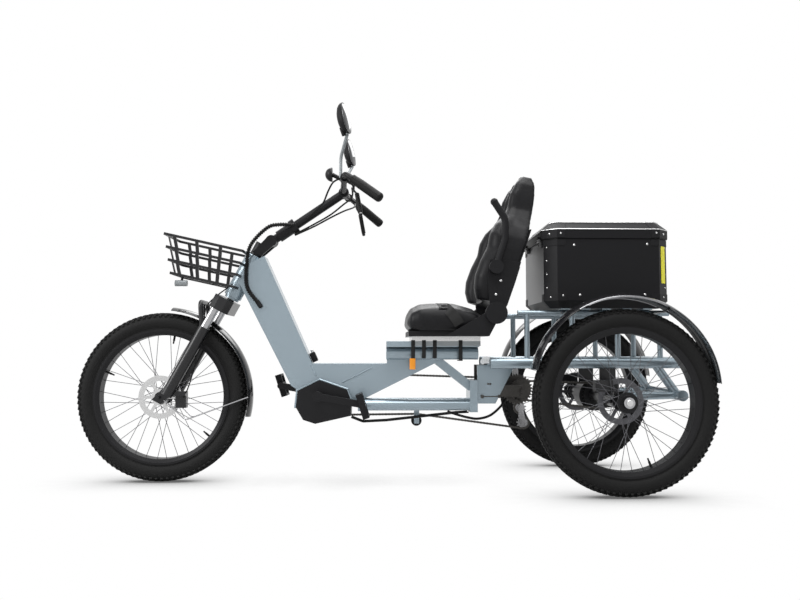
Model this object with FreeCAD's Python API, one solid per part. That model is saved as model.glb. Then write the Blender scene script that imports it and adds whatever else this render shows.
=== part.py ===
import FreeCAD, Part
import math
import os

# Overall layout, millimetres and degrees; X runs rearward, Y to the rider's right, Z up
wheel_radius = 325.0
wheelbase = 1690.0
track_width = 700.0
running_clearance = 0.05
face_clearance = 0.3

# Tyres, rims and spokes
tyre_width = 75.0
tyre_wall = 4.0
tyre_shoulder_drop = 14.0
tread_width = 52.0
bead_width = 56.0
bead_height = 14.0
rim_bed_radius = 251.0
rim_depth = 14.0
rim_wall = 3.0
rim_lip = 8.0
spokes_per_side = 18
spoke_radius = 1.1
spoke_stagger = 2.6
spoke_lean = 60.0

# Front hub, axle and rotor
front_hub_radius = 20.0
front_hub_length = 96.0
front_flange_radius = 31.0
flange_thickness = 7.0
flange_spread = 27.0
front_axle_radius = 6.0
rotor_radius = 82.0
rotor_inner_radius = 62.0
rotor_thickness = 2.0
rotor_arm_count = 6
rotor_arm_width = 12.0
rotor_offset = 43.0

# Steering axis and fork
steering_tilt = 28.5
axle_lead = 45.0
leg_lead = 22.0
leg_spread = 70.0
leg_radius = 22.0
leg_foot = 22.0
leg_top_drop = 82.0
stanchion_radius = 16.0
stanchion_foot = 150.0
damper_rod_radius = 5.0
damper_rod_foot = 40.0
crown_clearance = 72.0
crown_depth = 52.0
crown_front = 48.0
crown_rear = 30.0
crown_side = 92.0
crown_corner = 22.0
steerer_radius = 14.3
dropout_width = 40.0
dropout_thickness = 9.0
dropout_gap = 52.0
arch_rod_radius = 9.0
arch_lead = 86.0
arch_drop = 5.0

# Head tube and bearings
head_gap = 6.0
head_length = 193.0
head_radius = 29.0
head_wall = 4.0
bearing_width = 10.0

# Stem
stem_base_height = 54.0
stem_base_radius = 24.0
stem_pivot_rise = 82.0
stem_pivot_back = 29.0
stem_pivot_radius = 5.0
stem_cheek_gap = 17.0
stem_cheek_thickness = 9.0
stem_cheek_radius = 22.0
stem_cheek_lift = 9.0
stem_rise_angle = 34.4
stem_length = 342.0
stem_thick_length = 104.0
stem_thick_radius = 23.0
stem_radius = 17.0
stem_ring_radius = 30.0
stem_ring_length = 22.0

# Handlebar
bar_radius = 11.1
bar_reach = 235.0
bar_bend_radius = 60.0
bar_rise = 26.0
grip_drop_angle = 38.0
grip_splay_share = 0.31
grip_length = 122.0
grip_radius = 15.5
bar_tail_length = 165.0
bar_clamp_radius = 20.0
bar_clamp_length = 46.0
bar_setback = 15.0

# Levers, mirrors, bell
lever_mount_radius = 17.0
lever_mount_length = 26.0
lever_length = 122.0
lever_thickness = 9.0
lever_width = 14.0
lever_pin_radius = 3.0
lever_pivot_out = 34.0
lever_pivot_drop = 24.0
stalk_radius = 6.0
stalk_foot_out = 14.0
stalk_lean = 26.0
stalk_height = 186.0
stalk_splay = 62.0
mirror_height = 112.0
mirror_width = 82.0
mirror_depth = 26.0
mirror_ball_radius = 9.0
mirror_back_share = 0.7
full_share = 1.0
bell_radius = 27.0
bell_post_radius = 8.0
bell_reach = 150.0
bell_ahead = 44.0

# Main frame
frame_width = 92.0
frame_wall = 4.0
down_tube_join_share = 0.80
down_tube_top_depth = 134.0
down_tube_foot_depth = 108.0
down_tube_foot_ahead = 60.0
down_tube_foot_rise = 62.0
crank_ahead = 1083.0
crank_rise = 5.0
floor_rise = 128.0
floor_end_ahead = 824.0
strut_foot_back = 148.0
strut_foot_drop = 24.0
strut_top_ahead = 635.0
strut_top_rise = 130.0
strut_end_height = 36.0
strut_crest_ahead = 980.0
strut_crest_rise = 52.0
stay_radius = 22.0
stay_wall = 3.0
stay_spread = 40.0
stay_rise = -31.0
stay_rear_ahead = 506.0
cradle_thickness = 10.0
gusset_length = 30.0
gusset_foot = -58.0
gusset_top = 64.0
gusset_width = 130.0
rear_strut_depth = 42.0
rear_strut_width = 70.0

# Motor, cranks, pedals, drive train
motor_width = 124.0
motor_shares = [(0.016, 0.476), (-0.653, 0.161), (-0.702, -0.363), (-0.484, -0.734),
                (-0.113, -0.855), (0.976, -0.613), (0.992, -0.177), (0.847, 0.194)]
pedal_angle = 72.0
tooth_shares = [(0.0, 0), (0.25, 1), (0.5, 1), (0.75, 0)]
motor_wall = 7.0
crank_axle_radius = 10.0
crank_length = 172.0
crank_angle = -10.0
crank_thickness = 14.0
crank_offset = 108.0
crank_boss_radius = 20.0
crank_tip_radius = 13.0
pedal_pin_radius = 5.0
pedal_length = 88.0
pedal_width = 92.0
pedal_height = 24.0
pedal_boss_radius = 11.0
pedal_bar_thickness = 9.0
pedal_gap = 4.0
chain_pitch = 12.7
chain_plate_height = 9.0
chain_width = 7.0
chain_slot = 4.2
tooth_thickness = 2.2
tooth_depth = 3.4
drive_chain_offset = 80.0
ring_teeth = 42
cog_teeth = 21
cog_spacing = 5.0
cog_step_teeth = 4
jack_teeth = 18
axle_teeth = 24
jack_ahead = 300.0
jack_rise = 22.0
jack_radius = 10.0
jack_left = 60.0
jack_right = 104.0
axle_chain_offset = 15.0
idler_ahead = 705.0
idler_rise = -102.0
idler_radius = 21.0
idler_width = 14.0
idler_pin_radius = 5.0
guide_ahead = 288.0
guide_rise = -52.0
tension_ahead = 276.0
tension_rise = -112.0
pulley_teeth = 11
pulley_width = 2.4
cage_thickness = 3.0
cage_width = 22.0

# Jackshaft bracket, rear platform and axle
plate_offset = 50.0
plate_thickness = 6.0
carrier_thickness = 8.0
carrier_radius = 22.0
rail_radius = 21.0
rail_wall = 2.5
rail_spread = 150.0
rail_rise = 132.0
rail_front_ahead = 440.0
rail_rear_back = 313.0
cross_two_ahead = 340.0
cross_rear_back = 270.0
bumper_radius = 20.0
bumper_back = 262.0
bumper_rise = 12.0
bumper_half_length = 205.0
diagonal_radius = 16.0
diagonal_top_back = 176.0
link_radius = 15.0
housing_radius = 26.0
housing_bore = 17.0
housing_inner = 128.0
housing_inset = 58.0
hanger_thickness = 8.0
hanger_length = 60.0
shaft_radius = 12.0
rear_hub_radius = 26.0
rear_flange_radius = 36.0
rear_hub_reach_in = 32.0
rear_hub_reach_out = 34.0
axle_cap_radius = 19.0
axle_cap_reach = 50.0
rear_rotor_inset = 48.0
drum_radius = 60.0
drum_start = 30.0
drum_end = 120.0
neck_radius = 24.0
caliper_length = 62.0
caliper_height = 40.0
caliper_width = 30.0
caliper_slot = 6.0

# Mudguards
rear_guard_radius = 333.0
rear_guard_raise = 45.0
guard_width = 94.0
guard_edge_drop = 12.0
guard_thickness = 2.5
rear_guard_end_angle = 3.5
rear_guard_start_angle = 168.0
front_guard_radius = 347.0
front_guard_width = 84.0
front_guard_top_angle = 84.0
front_guard_end_angle = -13.0
guard_stay_radius = 2.5

# Rack and cargo box
rack_rise = 318.0
rack_tube_radius = 11.0
rack_front_ahead = 335.0
rack_rear_back = 235.0
rack_slat_height = 6.0
rack_slat_width = 34.0
rack_slat_count = 5
post_radius = 10.0
box_front_ahead = 240.0
box_rear_back = 222.0
box_half_width = 216.0
box_height = 256.0
box_wall = 3.0
box_corner = 42.0
box_foot_chamfer = 26.0
lid_height = 66.0
lid_shoulder = 30.0
lid_overhang = 4.0
hinge_radius = 6.0
hinge_pin_radius = 2.5
hinge_length = 50.0
hinge_spread = 120.0
latch_width = 40.0
latch_height = 54.0
latch_thickness = 7.0

# Seat
rail_block_front_ahead = 826.0
rail_block_rear_ahead = 476.0
rail_tube_radius = 24.0
rail_tube_rise = 167.0
rail_deck_height = 22.0
rail_deck_half_width = 120.0
slide_height = 17.0
pan_height = 20.0
seat_front_ahead = 751.0
seat_rear_ahead = 452.0
seat_half_width = 205.0
cushion_height = 108.0
hinge_ahead = 426.0
hinge_rise = 315.0
cover_radius = 40.0
cover_thickness = 26.0
recliner_pin_radius = 8.0
back_tilt = 12.5
back_height = 555.0
back_half_width = 200.0
back_depth = 97.0
arm_pivot_ahead = 425.0
arm_pivot_rise = 484.0
arm_offset = 226.0
arm_thickness = 26.0
arm_end_radius = 14.0
right_arm_lean = 25.0
arm_length = 250.0
arm_height = 30.0
arm_pin_radius = 6.0
belt_width = 44.0
belt_thickness = 3.0

# Basket and headlight
basket_tilt = 12.5
basket_length = 306.0
basket_foot_length = 252.0
basket_half_width = 112.0
basket_foot_half_width = 102.0
basket_height = 140.0
basket_bar = 5.0
basket_bar_height = 10.0
basket_slat_width = 13.0
basket_rear_ahead = 1370.0
basket_rear_rise = 554.0
lamp_radius = 12.0
lamp_length = 46.0

# Cords
cord_radius = 3.0
harness_radius = 8.0
harness_lift = 96.0
cable_sag = 44.0
plate_foot_lift = 32.0
plate_toe_back = 70.0
housing_gap = 8.0
neck_half = 6.0
caliper_back = 92.0
caliper_lift = 34.0
bracket_thickness = 8.0
front_caliper_back = 62.0
stay_knee_back = 100.0
stay_knee_drop = 86.0
post_shares = [0.06, 0.36, 0.66, 0.94]
crown_height = 26.0
side_draw = 10.0
cushion_shares = [(0.0, 0.22, 0.58, 0.76), (0.05, 0.06, 0.84, 0.92), (0.16, 0.0, 0.97, 0.99),
                  (0.32, 0.0, 1.0, 1.0),
                  (0.6, 0.0, 1.0, 1.0), (0.84, 0.0, 0.82, 0.97), (0.97, 0.05, 0.62, 0.9),
                  (1.0, 0.2, 0.5, 0.82)]
back_shares = [(0.072, -0.77, 0.31, 0.90),
               (0.144, -0.95, 0.36, 0.97),
               (0.225, -1.00, 0.42, 1.00),
               (0.337, -0.91, 0.48, 1.00),
               (0.436, -0.76, 0.55, 0.99),
               (0.526, -0.78, 0.61, 0.96),
               (0.609, -0.64, 0.66, 0.88),
               (0.685, -0.33, 0.69, 0.70),
               (0.750, -0.26, 0.71, 0.62),
               (0.847, -0.29, 0.68, 0.61),
               (0.937, -0.15, 0.60, 0.58),
               (0.995, 0.00, 0.47, 0.46)]
centre_share = 0.22
edge_share = 0.38
bolster_share = 0.55
bolster_peak_share = 0.82
panel_rows = 7
arm_shares = [(0.0, 0.0), (1.1, 0.4), (1.2, 0.7), (-0.2, 0.96)]
basket_level_shares = [0.0, 0.33, 0.66, 1.0]
rung_shares = [0.28, 0.58, 0.86]
front_rung_shares = [-0.4, 0.4]
slat_shares = [-0.6, 0.0, 0.6]
cable_sides = [-0.6, 0.5]
cable_shares = [(0.0, 0.6), (0.1, 1.0), (0.3, 0.9), (0.9, 0.23), (0.998, 0.18)]
harness_shares = [(0.74, 1.43), (0.10, 0.74), (-0.06, -0.07), (-0.03, -0.96), (0.42, -1.60)]
corner_shrink_share = 0.586
lever_root_share = 1.5
arc_shares = [0, 0.5, 1]

axle_z = wheel_radius
guard_reach = rear_guard_radius * math.cos(math.radians(rear_guard_end_angle))
rear_reach = max(wheel_radius, guard_reach)
rear_x = (wheelbase + wheel_radius - rear_reach) / 2
front_x = rear_x - wheelbase
tilt = math.radians(steering_tilt)
half_track = track_width / 2
housing_outer = half_track - housing_inset
rear_hub_inner = half_track - rear_hub_reach_in
rear_hub_outer = half_track + rear_hub_reach_out
axle_cap_out = half_track + axle_cap_reach
rear_rotor_offset = half_track - rear_rotor_inset
crown_foot = wheel_radius + crown_clearance
crown_top = crown_foot + crown_depth
leg_top = crown_foot - leg_top_drop
arch_top = crown_foot - arch_drop
head_foot = crown_top + head_gap
head_top = head_foot + head_length
stem_base_top = head_top + stem_base_height
stem_pivot_along = head_top + stem_pivot_rise
nodes = {}


def vec(x, y, z):
    return FreeCAD.Vector(x, y, z)


def at_rear(ahead, side, rise):
    return vec(rear_x - ahead, side, axle_z + rise)


def rod(start, end, radius):
    run = end.sub(start)
    return Part.makeCylinder(radius, run.Length, start, run)


def pipe(start, end, radius, wall):
    return rod(start, end, radius).cut(rod(start, end, radius - wall))


def slab(low, high):
    return Part.makeBox(high.x - low.x, high.y - low.y, high.z - low.z, low)


def polygon_face(points):
    return Part.Face(Part.makePolygon(points + [points[0]]))


def prism(points, low, high):
    face = polygon_face([vec(x, low, z) for x, z in points])
    return face.extrude(vec(0, high - low, 0))


def loop(points):
    # A point with a partner is the end of an arc through that partner
    edges = []
    here = points[0]
    for step in points[1:]:
        if isinstance(step, tuple):
            edges.append(Part.Arc(here, step[0], step[1]).toShape())
            here = step[1]
        else:
            edges.append(Part.makeLine(here, step))
            here = step
    if here.sub(points[0]).Length > 0:
        edges.append(Part.makeLine(here, points[0]))
    return Part.Wire(edges)


def turned(points, angle=360.0):
    return Part.Face(loop(points)).revolve(vec(0, 0, 0), vec(0, 1, 0), angle)


def route(points, radius, bend):
    # Straight runs joined by tangent arcs, swept by a round section
    edges = []
    here = points[0]
    for i in range(1, len(points) - 1):
        corner = points[i]
        before = corner.sub(points[i - 1]).normalize()
        after = points[i + 1].sub(corner).normalize()
        turn = before.getAngle(after)
        back = bend * math.tan(turn / 2)
        inside = after.sub(before).normalize()
        enter = corner.sub(before * back)
        leave = corner.add(after * back)
        middle = corner.add(inside * (bend / math.cos(turn / 2) - bend))
        edges.append(Part.makeLine(here, enter))
        edges.append(Part.Arc(enter, middle, leave).toShape())
        here = leave
    edges.append(Part.makeLine(here, points[-1]))
    start = points[1].sub(points[0])
    section = Part.Wire(Part.makeCircle(radius, points[0], start))
    return Part.Wire(edges).makePipeShell([section], True, False)


def mirrored(shape):
    return shape.mirror(vec(0, 0, 0), vec(0, 1, 0))


def both_sides(shape):
    return [shape, mirrored(shape)]


def to_steer(shape):
    moved = shape.copy()
    moved.rotate(vec(0, 0, 0), vec(0, 1, 0), steering_tilt)
    lead = vec(axle_lead * math.cos(tilt), 0, -axle_lead * math.sin(tilt))
    moved.translate(vec(front_x, 0, axle_z).add(lead))
    return moved


def to_world(point):
    spot = FreeCAD.Rotation(vec(0, 1, 0), steering_tilt).multVec(point)
    lead = vec(axle_lead * math.cos(tilt), 0, -axle_lead * math.sin(tilt))
    return spot.add(vec(front_x, 0, axle_z)).add(lead)


def moved(shape, x, y, z):
    copy = shape.copy()
    copy.translate(vec(x, y, z))
    return copy


# Wheels
bead_half = bead_width / 2
bead_radius = rim_bed_radius + face_clearance
wall_start = bead_radius + bead_height
shoulder_radius = wheel_radius - tyre_shoulder_drop
side_radius = (wall_start + shoulder_radius) / 2


def tyre_ring(inset, foot):
    half = tyre_width / 2 - inset
    tread = tread_width / 2 - inset
    bead = bead_half - inset
    crown = shoulder_radius - inset
    return turned([
        vec(foot, -bead, 0),
        vec(wall_start, -bead, 0),
        (vec(side_radius, -half, 0), vec(crown, -tread, 0)),
        (vec(wheel_radius - inset, 0, 0), vec(crown, tread, 0)),
        (vec(side_radius, half, 0), vec(wall_start, bead, 0)),
        vec(foot, bead, 0)])


tyre = tyre_ring(0, bead_radius).cut(tyre_ring(tyre_wall, bead_radius - tyre_wall))
lip_inner = bead_half + face_clearance
lip_outer = lip_inner + rim_wall
rim_inner = rim_bed_radius - rim_depth
lip_radius = rim_bed_radius + rim_lip
rim_floor = lip_outer - rim_depth / 2
rim_ring = turned([
    vec(rim_inner, -rim_floor, 0), vec(rim_inner, rim_floor, 0),
    vec(rim_bed_radius, lip_outer, 0), vec(lip_radius, lip_outer, 0),
    vec(lip_radius, lip_inner, 0), vec(rim_bed_radius, lip_inner, 0),
    vec(rim_bed_radius, -lip_inner, 0), vec(lip_radius, -lip_inner, 0),
    vec(lip_radius, -lip_outer, 0), vec(rim_bed_radius, -lip_outer, 0)])
hollow_low = rim_inner + rim_wall
hollow_high = rim_bed_radius - rim_wall
hollow_half = rim_floor - rim_wall
rim_ring = rim_ring.cut(turned([
    vec(hollow_low, -hollow_half, 0), vec(hollow_low, hollow_half, 0),
    vec(hollow_high, hollow_half, 0), vec(hollow_high, -hollow_half, 0)]))


def spoke_set(flange_radius):
    low = flange_radius + face_clearance
    high = rim_inner - face_clearance
    start = vec(0, -tyre_width, 0)
    end = vec(0, tyre_width, 0)
    zone = rod(start, end, high).cut(rod(start, end, low))
    spokes = []
    step = 360.0 / spokes_per_side
    for side in (-1, 1):
        for i in range(spokes_per_side):
            way = 1 if i % 2 else -1
            rim_angle = math.radians(step * i + side * step / 4)
            hub_angle = rim_angle + way * math.radians(spoke_lean)
            hub_y = side * (flange_spread + way * spoke_stagger)
            foot = vec(flange_radius * math.cos(hub_angle), hub_y, flange_radius * math.sin(hub_angle))
            tip = vec(rim_bed_radius * math.cos(rim_angle), side * spoke_stagger,
                      rim_bed_radius * math.sin(rim_angle))
            spokes.append(rod(foot, tip, spoke_radius).common(zone))
    return spokes


def rotor(centre_radius, offset):
    low = offset - rotor_thickness / 2
    high = offset + rotor_thickness / 2
    ring = rod(vec(0, low, 0), vec(0, high, 0), rotor_radius)
    ring = ring.cut(rod(vec(0, low, 0), vec(0, high, 0), rotor_inner_radius))
    centre = rod(vec(0, low, 0), vec(0, high, 0), centre_radius + rotor_arm_width)
    reach = (rotor_inner_radius + rotor_radius) / 2
    arms = []
    for i in range(rotor_arm_count):
        arm = slab(vec(0, low, -rotor_arm_width / 2), vec(reach, high, rotor_arm_width / 2))
        arm.rotate(vec(0, 0, 0), vec(0, 1, 0), 360.0 * i / rotor_arm_count)
        arms.append(arm)
    whole = ring.multiFuse([centre] + arms)
    return whole.cut(rod(vec(0, low, 0), vec(0, high, 0), centre_radius + face_clearance))


def hub_shell(length_low, length_high, radius, flange_radius, bore, centre):
    shell = rod(vec(0, length_low, 0), vec(0, length_high, 0), radius)
    for side in (-1, 1):
        middle = centre + side * flange_spread
        low = vec(0, middle - flange_thickness / 2, 0)
        high = vec(0, middle + flange_thickness / 2, 0)
        shell = shell.fuse(rod(low, high, flange_radius))
    return shell.cut(rod(vec(0, length_low, 0), vec(0, length_high, 0), bore))


front_spokes = spoke_set(front_flange_radius)
rear_spokes = spoke_set(rear_flange_radius)
half_hub = front_hub_length / 2
front_hub = hub_shell(-half_hub, half_hub, front_hub_radius, front_flange_radius,
                      front_axle_radius + running_clearance, 0)
front_rotor = rotor(front_hub_radius, -rotor_offset)
nodes["front_tyre"] = [moved(tyre, front_x, 0, axle_z)]
nodes["front_rim"] = [moved(piece, front_x, 0, axle_z) for piece in [rim_ring] + front_spokes]
nodes["front_hub"] = [moved(piece, front_x, 0, axle_z) for piece in (front_hub, front_rotor)]
for name, side in (("left", -1), ("right", 1)):
    middle = side * half_track
    nodes[name + "_tyre"] = [moved(tyre, rear_x, middle, axle_z)]
    nodes[name + "_rim"] = [moved(piece, rear_x, middle, axle_z) for piece in [rim_ring] + rear_spokes]

# Fork, in a frame whose upright axis is the steering axis
dropout_half = dropout_width / 2
leg_low = vec(-leg_lead, leg_spread, leg_foot)
leg_high = vec(-leg_lead, leg_spread, leg_top)
bore_low = vec(-leg_lead, leg_spread, damper_rod_foot)
leg_bore = rod(bore_low, vec(-leg_lead, leg_spread, arch_top), stanchion_radius + running_clearance)
foot_plate = prism([
    (-axle_lead - dropout_half, -dropout_half), (-axle_lead + dropout_half, -dropout_half),
    (-leg_lead + dropout_half, leg_foot + dropout_width),
    (-leg_lead - dropout_half, leg_foot + dropout_width)],
    dropout_gap, dropout_gap + dropout_thickness)
axle_half = leg_spread + dropout_thickness
axle_line = rod(vec(-axle_lead, -axle_half, 0), vec(-axle_lead, axle_half, 0), front_axle_radius)
leg = rod(leg_low, leg_high, leg_radius).fuse(foot_plate)
arch_foot = leg_top - dropout_half
arch_side = leg_spread - arch_rod_radius
arch = route([
    vec(-leg_lead, leg_spread, arch_foot), vec(-arch_lead, arch_side, arch_top),
    vec(-arch_lead, -arch_side, arch_top), vec(-leg_lead, -leg_spread, arch_foot)],
    arch_rod_radius, leg_radius)
lowers = leg.multiFuse([mirrored(leg), arch])
lowers = lowers.cut(leg_bore).cut(mirrored(leg_bore)).cut(axle_line)
rods = both_sides(rod(bore_low, vec(-leg_lead, leg_spread, stanchion_foot + leg_spread),
                      damper_rod_radius))
nodes["fork_lowers"] = [to_steer(piece) for piece in [lowers] + rods + [axle_line]]
stanchion = pipe(vec(-leg_lead, leg_spread, stanchion_foot), vec(-leg_lead, leg_spread, crown_top),
                 stanchion_radius, frame_wall)
nodes["stanchions"] = [to_steer(piece) for piece in both_sides(stanchion)]
crown_outline = [
    vec(-crown_front, -crown_side + crown_corner, crown_foot),
    vec(-crown_front + crown_corner, -crown_side, crown_foot),
    vec(crown_rear - crown_corner, -crown_side, crown_foot),
    vec(crown_rear, -crown_side + crown_corner, crown_foot)]
crown_outline = crown_outline + [vec(spot.x, -spot.y, spot.z) for spot in reversed(crown_outline)]
crown = polygon_face(crown_outline).extrude(vec(0, 0, crown_top - crown_foot))
crown_bore = rod(vec(-leg_lead, leg_spread, crown_foot), vec(-leg_lead, leg_spread, crown_top),
                 stanchion_radius)
crown = crown.cut(crown_bore).cut(mirrored(crown_bore))
steerer = rod(vec(0, 0, crown_foot), vec(0, 0, stem_base_top), steerer_radius)
nodes["fork_crown"] = [to_steer(crown.fuse(steerer))]

# Bearings and head tube
head_low = vec(0, 0, head_foot)
head_high = vec(0, 0, head_top)
head_tube = pipe(head_low, head_high, head_radius, head_wall)
cup_radius = head_radius - head_wall
cup_bore = steerer_radius + running_clearance
low_cup = rod(head_low, vec(0, 0, head_foot + bearing_width), cup_radius)
high_cup = rod(vec(0, 0, head_top - bearing_width), head_high, cup_radius)
steer_bore = rod(head_low, head_high, cup_bore)
nodes["bearings"] = [to_steer(cup.cut(steer_bore)) for cup in (low_cup, high_cup)]
head_tube = to_steer(head_tube)
head_solid = to_steer(rod(head_low, head_high, head_radius))

# Stem base with cheeks, stem arm that tilts on the pivot
collar_foot = head_top + face_clearance
collar = rod(vec(0, 0, collar_foot), vec(0, 0, stem_base_top), stem_base_radius)
cheek_outer = stem_cheek_gap + stem_cheek_thickness
pivot_local = vec(stem_pivot_back, 0, stem_pivot_along)
cheek = prism([
    (-stem_base_radius / 2, collar_foot + stem_cheek_lift),
    (stem_base_radius, collar_foot + stem_cheek_lift),
    (stem_pivot_back + stem_cheek_radius, stem_pivot_along),
    (stem_pivot_back - stem_cheek_radius, stem_pivot_along)],
    stem_cheek_gap, cheek_outer)
cheek = cheek.fuse(rod(vec(stem_pivot_back, stem_cheek_gap, stem_pivot_along),
                       vec(stem_pivot_back, cheek_outer, stem_pivot_along), stem_cheek_radius))
pivot_pin = rod(vec(stem_pivot_back, -cheek_outer, stem_pivot_along),
                vec(stem_pivot_back, cheek_outer, stem_pivot_along), stem_pivot_radius)
stem_base = collar.multiFuse([cheek, mirrored(cheek), pivot_pin])
stem_base = stem_base.cut(rod(vec(0, 0, collar_foot), vec(0, 0, stem_base_top), steerer_radius))
nodes["stem_base"] = [to_steer(stem_base)]
pivot = to_world(pivot_local)
rise = math.radians(stem_rise_angle)
stem_way = vec(math.cos(rise), 0, math.sin(rise))
bar_centre = pivot.add(stem_way * stem_length)
eye_half = stem_cheek_gap - face_clearance
eye_radius = stem_cheek_radius - face_clearance
clear_start = stem_cheek_radius + stem_cheek_thickness
thick_start = pivot.add(stem_way * clear_start)
thick_end = pivot.add(stem_way * stem_thick_length)
eye = rod(pivot.add(vec(0, -eye_half, 0)), pivot.add(vec(0, eye_half, 0)), eye_radius)
neck = rod(pivot, thick_start, eye_half)
ring_low = pivot.add(stem_way * (stem_thick_length - stem_ring_length / 2))
ring_high = pivot.add(stem_way * (stem_thick_length + stem_ring_length / 2))
bar_clamp = rod(bar_centre.add(vec(0, -bar_clamp_length / 2, 0)),
                bar_centre.add(vec(0, bar_clamp_length / 2, 0)),
                bar_clamp_radius)
stem_arm = eye.multiFuse([neck, rod(thick_start, thick_end, stem_thick_radius),
                          rod(thick_end, bar_centre, stem_radius),
                          rod(ring_low, ring_high, stem_ring_radius), bar_clamp])
pin_hole = rod(pivot.add(vec(0, -cheek_outer, 0)), pivot.add(vec(0, cheek_outer, 0)),
               stem_pivot_radius + running_clearance)
bar_hole = rod(bar_centre.add(vec(0, -bar_clamp_length, 0)), bar_centre.add(vec(0, bar_clamp_length, 0)),
               bar_radius)
nodes["stem_arm"] = [stem_arm.cut(pin_hole).cut(bar_hole)]

# Handlebar, grips and what is clamped on it
drop = math.radians(grip_drop_angle)
tail_way = vec(math.cos(drop), grip_splay_share, -math.sin(drop)).normalize()
straight_end = bar_centre.add(vec(0, bar_bend_radius, 0))
bar_corner = bar_centre.add(vec(bar_setback, bar_reach, bar_rise))
tail_end = bar_corner.add(tail_way * bar_tail_length)


def flipped(spot):
    return vec(spot.x, -spot.y, spot.z)


handlebar = route([flipped(tail_end), flipped(bar_corner), flipped(straight_end), straight_end,
                   bar_corner, tail_end],
                  bar_radius, bar_bend_radius / 2)
nodes["handlebar"] = [handlebar]
grip_start = tail_end.sub(tail_way * grip_length)
grip = rod(grip_start, tail_end.add(tail_way * grip_radius / 2),
           grip_radius).cut(rod(grip_start, tail_end, bar_radius))
nodes["grips"] = both_sides(grip)
arm_way = bar_corner.sub(straight_end).normalize()
mount_middle = bar_corner.sub(arm_way * (lever_mount_length * 2))
mount_low = mount_middle.sub(arm_way * (lever_mount_length / 2))
mount_high = mount_middle.add(arm_way * (lever_mount_length / 2))
mount = rod(mount_low, mount_high, lever_mount_radius)
lever_pivot = mount_middle.add(vec(lever_pivot_out, 0, -lever_pivot_drop))
lug_half = lever_width / 2
lug_gap = lever_thickness / 2 + face_clearance
tab = rod(mount_middle, lever_pivot, lug_half)
tab_ends = rod(lever_pivot.add(vec(0, -lug_half - lug_gap, 0)),
               lever_pivot.add(vec(0, lug_half + lug_gap, 0)), lug_half)
tab_slot = rod(lever_pivot.add(vec(0, -lug_gap, 0)), lever_pivot.add(vec(0, lug_gap, 0)), lever_width)
lever_pin = rod(lever_pivot.add(vec(0, -lug_half - lug_gap, 0)),
                lever_pivot.add(vec(0, lug_half + lug_gap, 0)),
                lever_pin_radius)
mount = mount.multiFuse([tab, tab_ends]).cut(tab_slot).fuse(lever_pin)
mount = mount.cut(rod(mount_low, mount_high, bar_radius))
stalk_foot = mount_middle.add(vec(-stalk_foot_out, 0, lever_mount_radius))
mirror_foot = stalk_foot.add(vec(stalk_lean, stalk_splay, stalk_height - mirror_height / 2))
stalk_turn = stalk_foot.add(vec(0, 0, stalk_height / 3))
stalk_start = stalk_foot.add(vec(0, 0, -stalk_foot_out))
stalk = route([stalk_start, stalk_turn, mirror_foot], stalk_radius, stalk_height / 4)
stalk = stalk.fuse(rod(mirror_foot, mirror_foot.add(vec(0, 0, mirror_ball_radius)), stalk_radius))
stalk = stalk.cut(rod(mount_low, mount_high, lever_mount_radius - stalk_radius))
bell_spot = vec(bar_centre.x + bar_setback / 2 - bell_ahead, -bell_reach,
                bar_centre.z + bar_rise / 2 + bell_radius)
bell = Part.makeSphere(bell_radius, bell_spot)
bell = bell.common(slab(bell_spot.sub(vec(bell_radius, bell_radius, bell_radius)),
                        bell_spot.add(vec(0, bell_radius, bell_radius))))
bell_along = bell_reach / bar_reach
bell_foot = bar_centre.add(vec(bar_setback * bell_along, -bell_reach, bar_rise * bell_along))
bell = bell.fuse(rod(bell_spot, bell_foot, bell_post_radius))
bell = bell.cut(handlebar)
left_mount = mirrored(mount)
nodes["bar_controls"] = [mount, left_mount, bell]
nodes["mirror_stalks"] = [piece.cut(mount).cut(left_mount).cut(handlebar) for piece in both_sides(stalk)]
lever_knee = lever_pivot.add(vec(lever_width, lever_length / 3, -lever_length / 3))
lever_tip = lever_pivot.add(vec(lever_width * 2, lever_length / 2, -lever_length))
lever_eye = rod(lever_pivot.add(vec(0, -lever_thickness / 2, 0)),
                lever_pivot.add(vec(0, lever_thickness / 2, 0)), lug_half)
lever_root = lever_pivot.add(vec(0, 0, -lever_width * lever_root_share))
blade = route([lever_pivot.add(vec(0, 0, -lever_pin_radius * lever_root_share)), lever_root, lever_knee,
               lever_tip],
              lever_thickness / 2, lever_width / 2)
lever_ball = Part.makeSphere(lug_half, lever_tip)
lever = lever_eye.multiFuse([blade, lever_ball])
lever = lever.cut(rod(lever_pivot.add(vec(0, -lever_width, 0)), lever_pivot.add(vec(0, lever_width, 0)),
                      lever_pin_radius + running_clearance))
nodes["right_brake_lever"] = [lever]
nodes["left_brake_lever"] = [mirrored(lever)]
swivel = rod(mirror_foot.add(vec(0, 0, stalk_radius / 2)),
             mirror_foot.add(vec(0, 0, mirror_ball_radius * 2)), mirror_ball_radius)
shell_low = mirror_foot.z + mirror_ball_radius
shell_top = shell_low + mirror_height
shell_middle = (shell_low + shell_top) / 2


def mirror_ring(ahead, shrink):
    half_across = mirror_width / 2 * shrink
    half_up = mirror_height / 2 * shrink
    corner = half_across / 2
    spots = [(-half_across, corner - half_up), (corner - half_across, -half_up),
             (half_across - corner, -half_up), (half_across, corner - half_up),
             (half_across, half_up - corner), (half_across - corner, half_up),
             (corner - half_across, half_up), (-half_across, half_up - corner)]
    ring = [vec(mirror_foot.x + ahead, mirror_foot.y + spot[0], shell_middle + spot[1]) for spot in spots]
    return Part.makePolygon(ring + [ring[0]])


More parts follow.
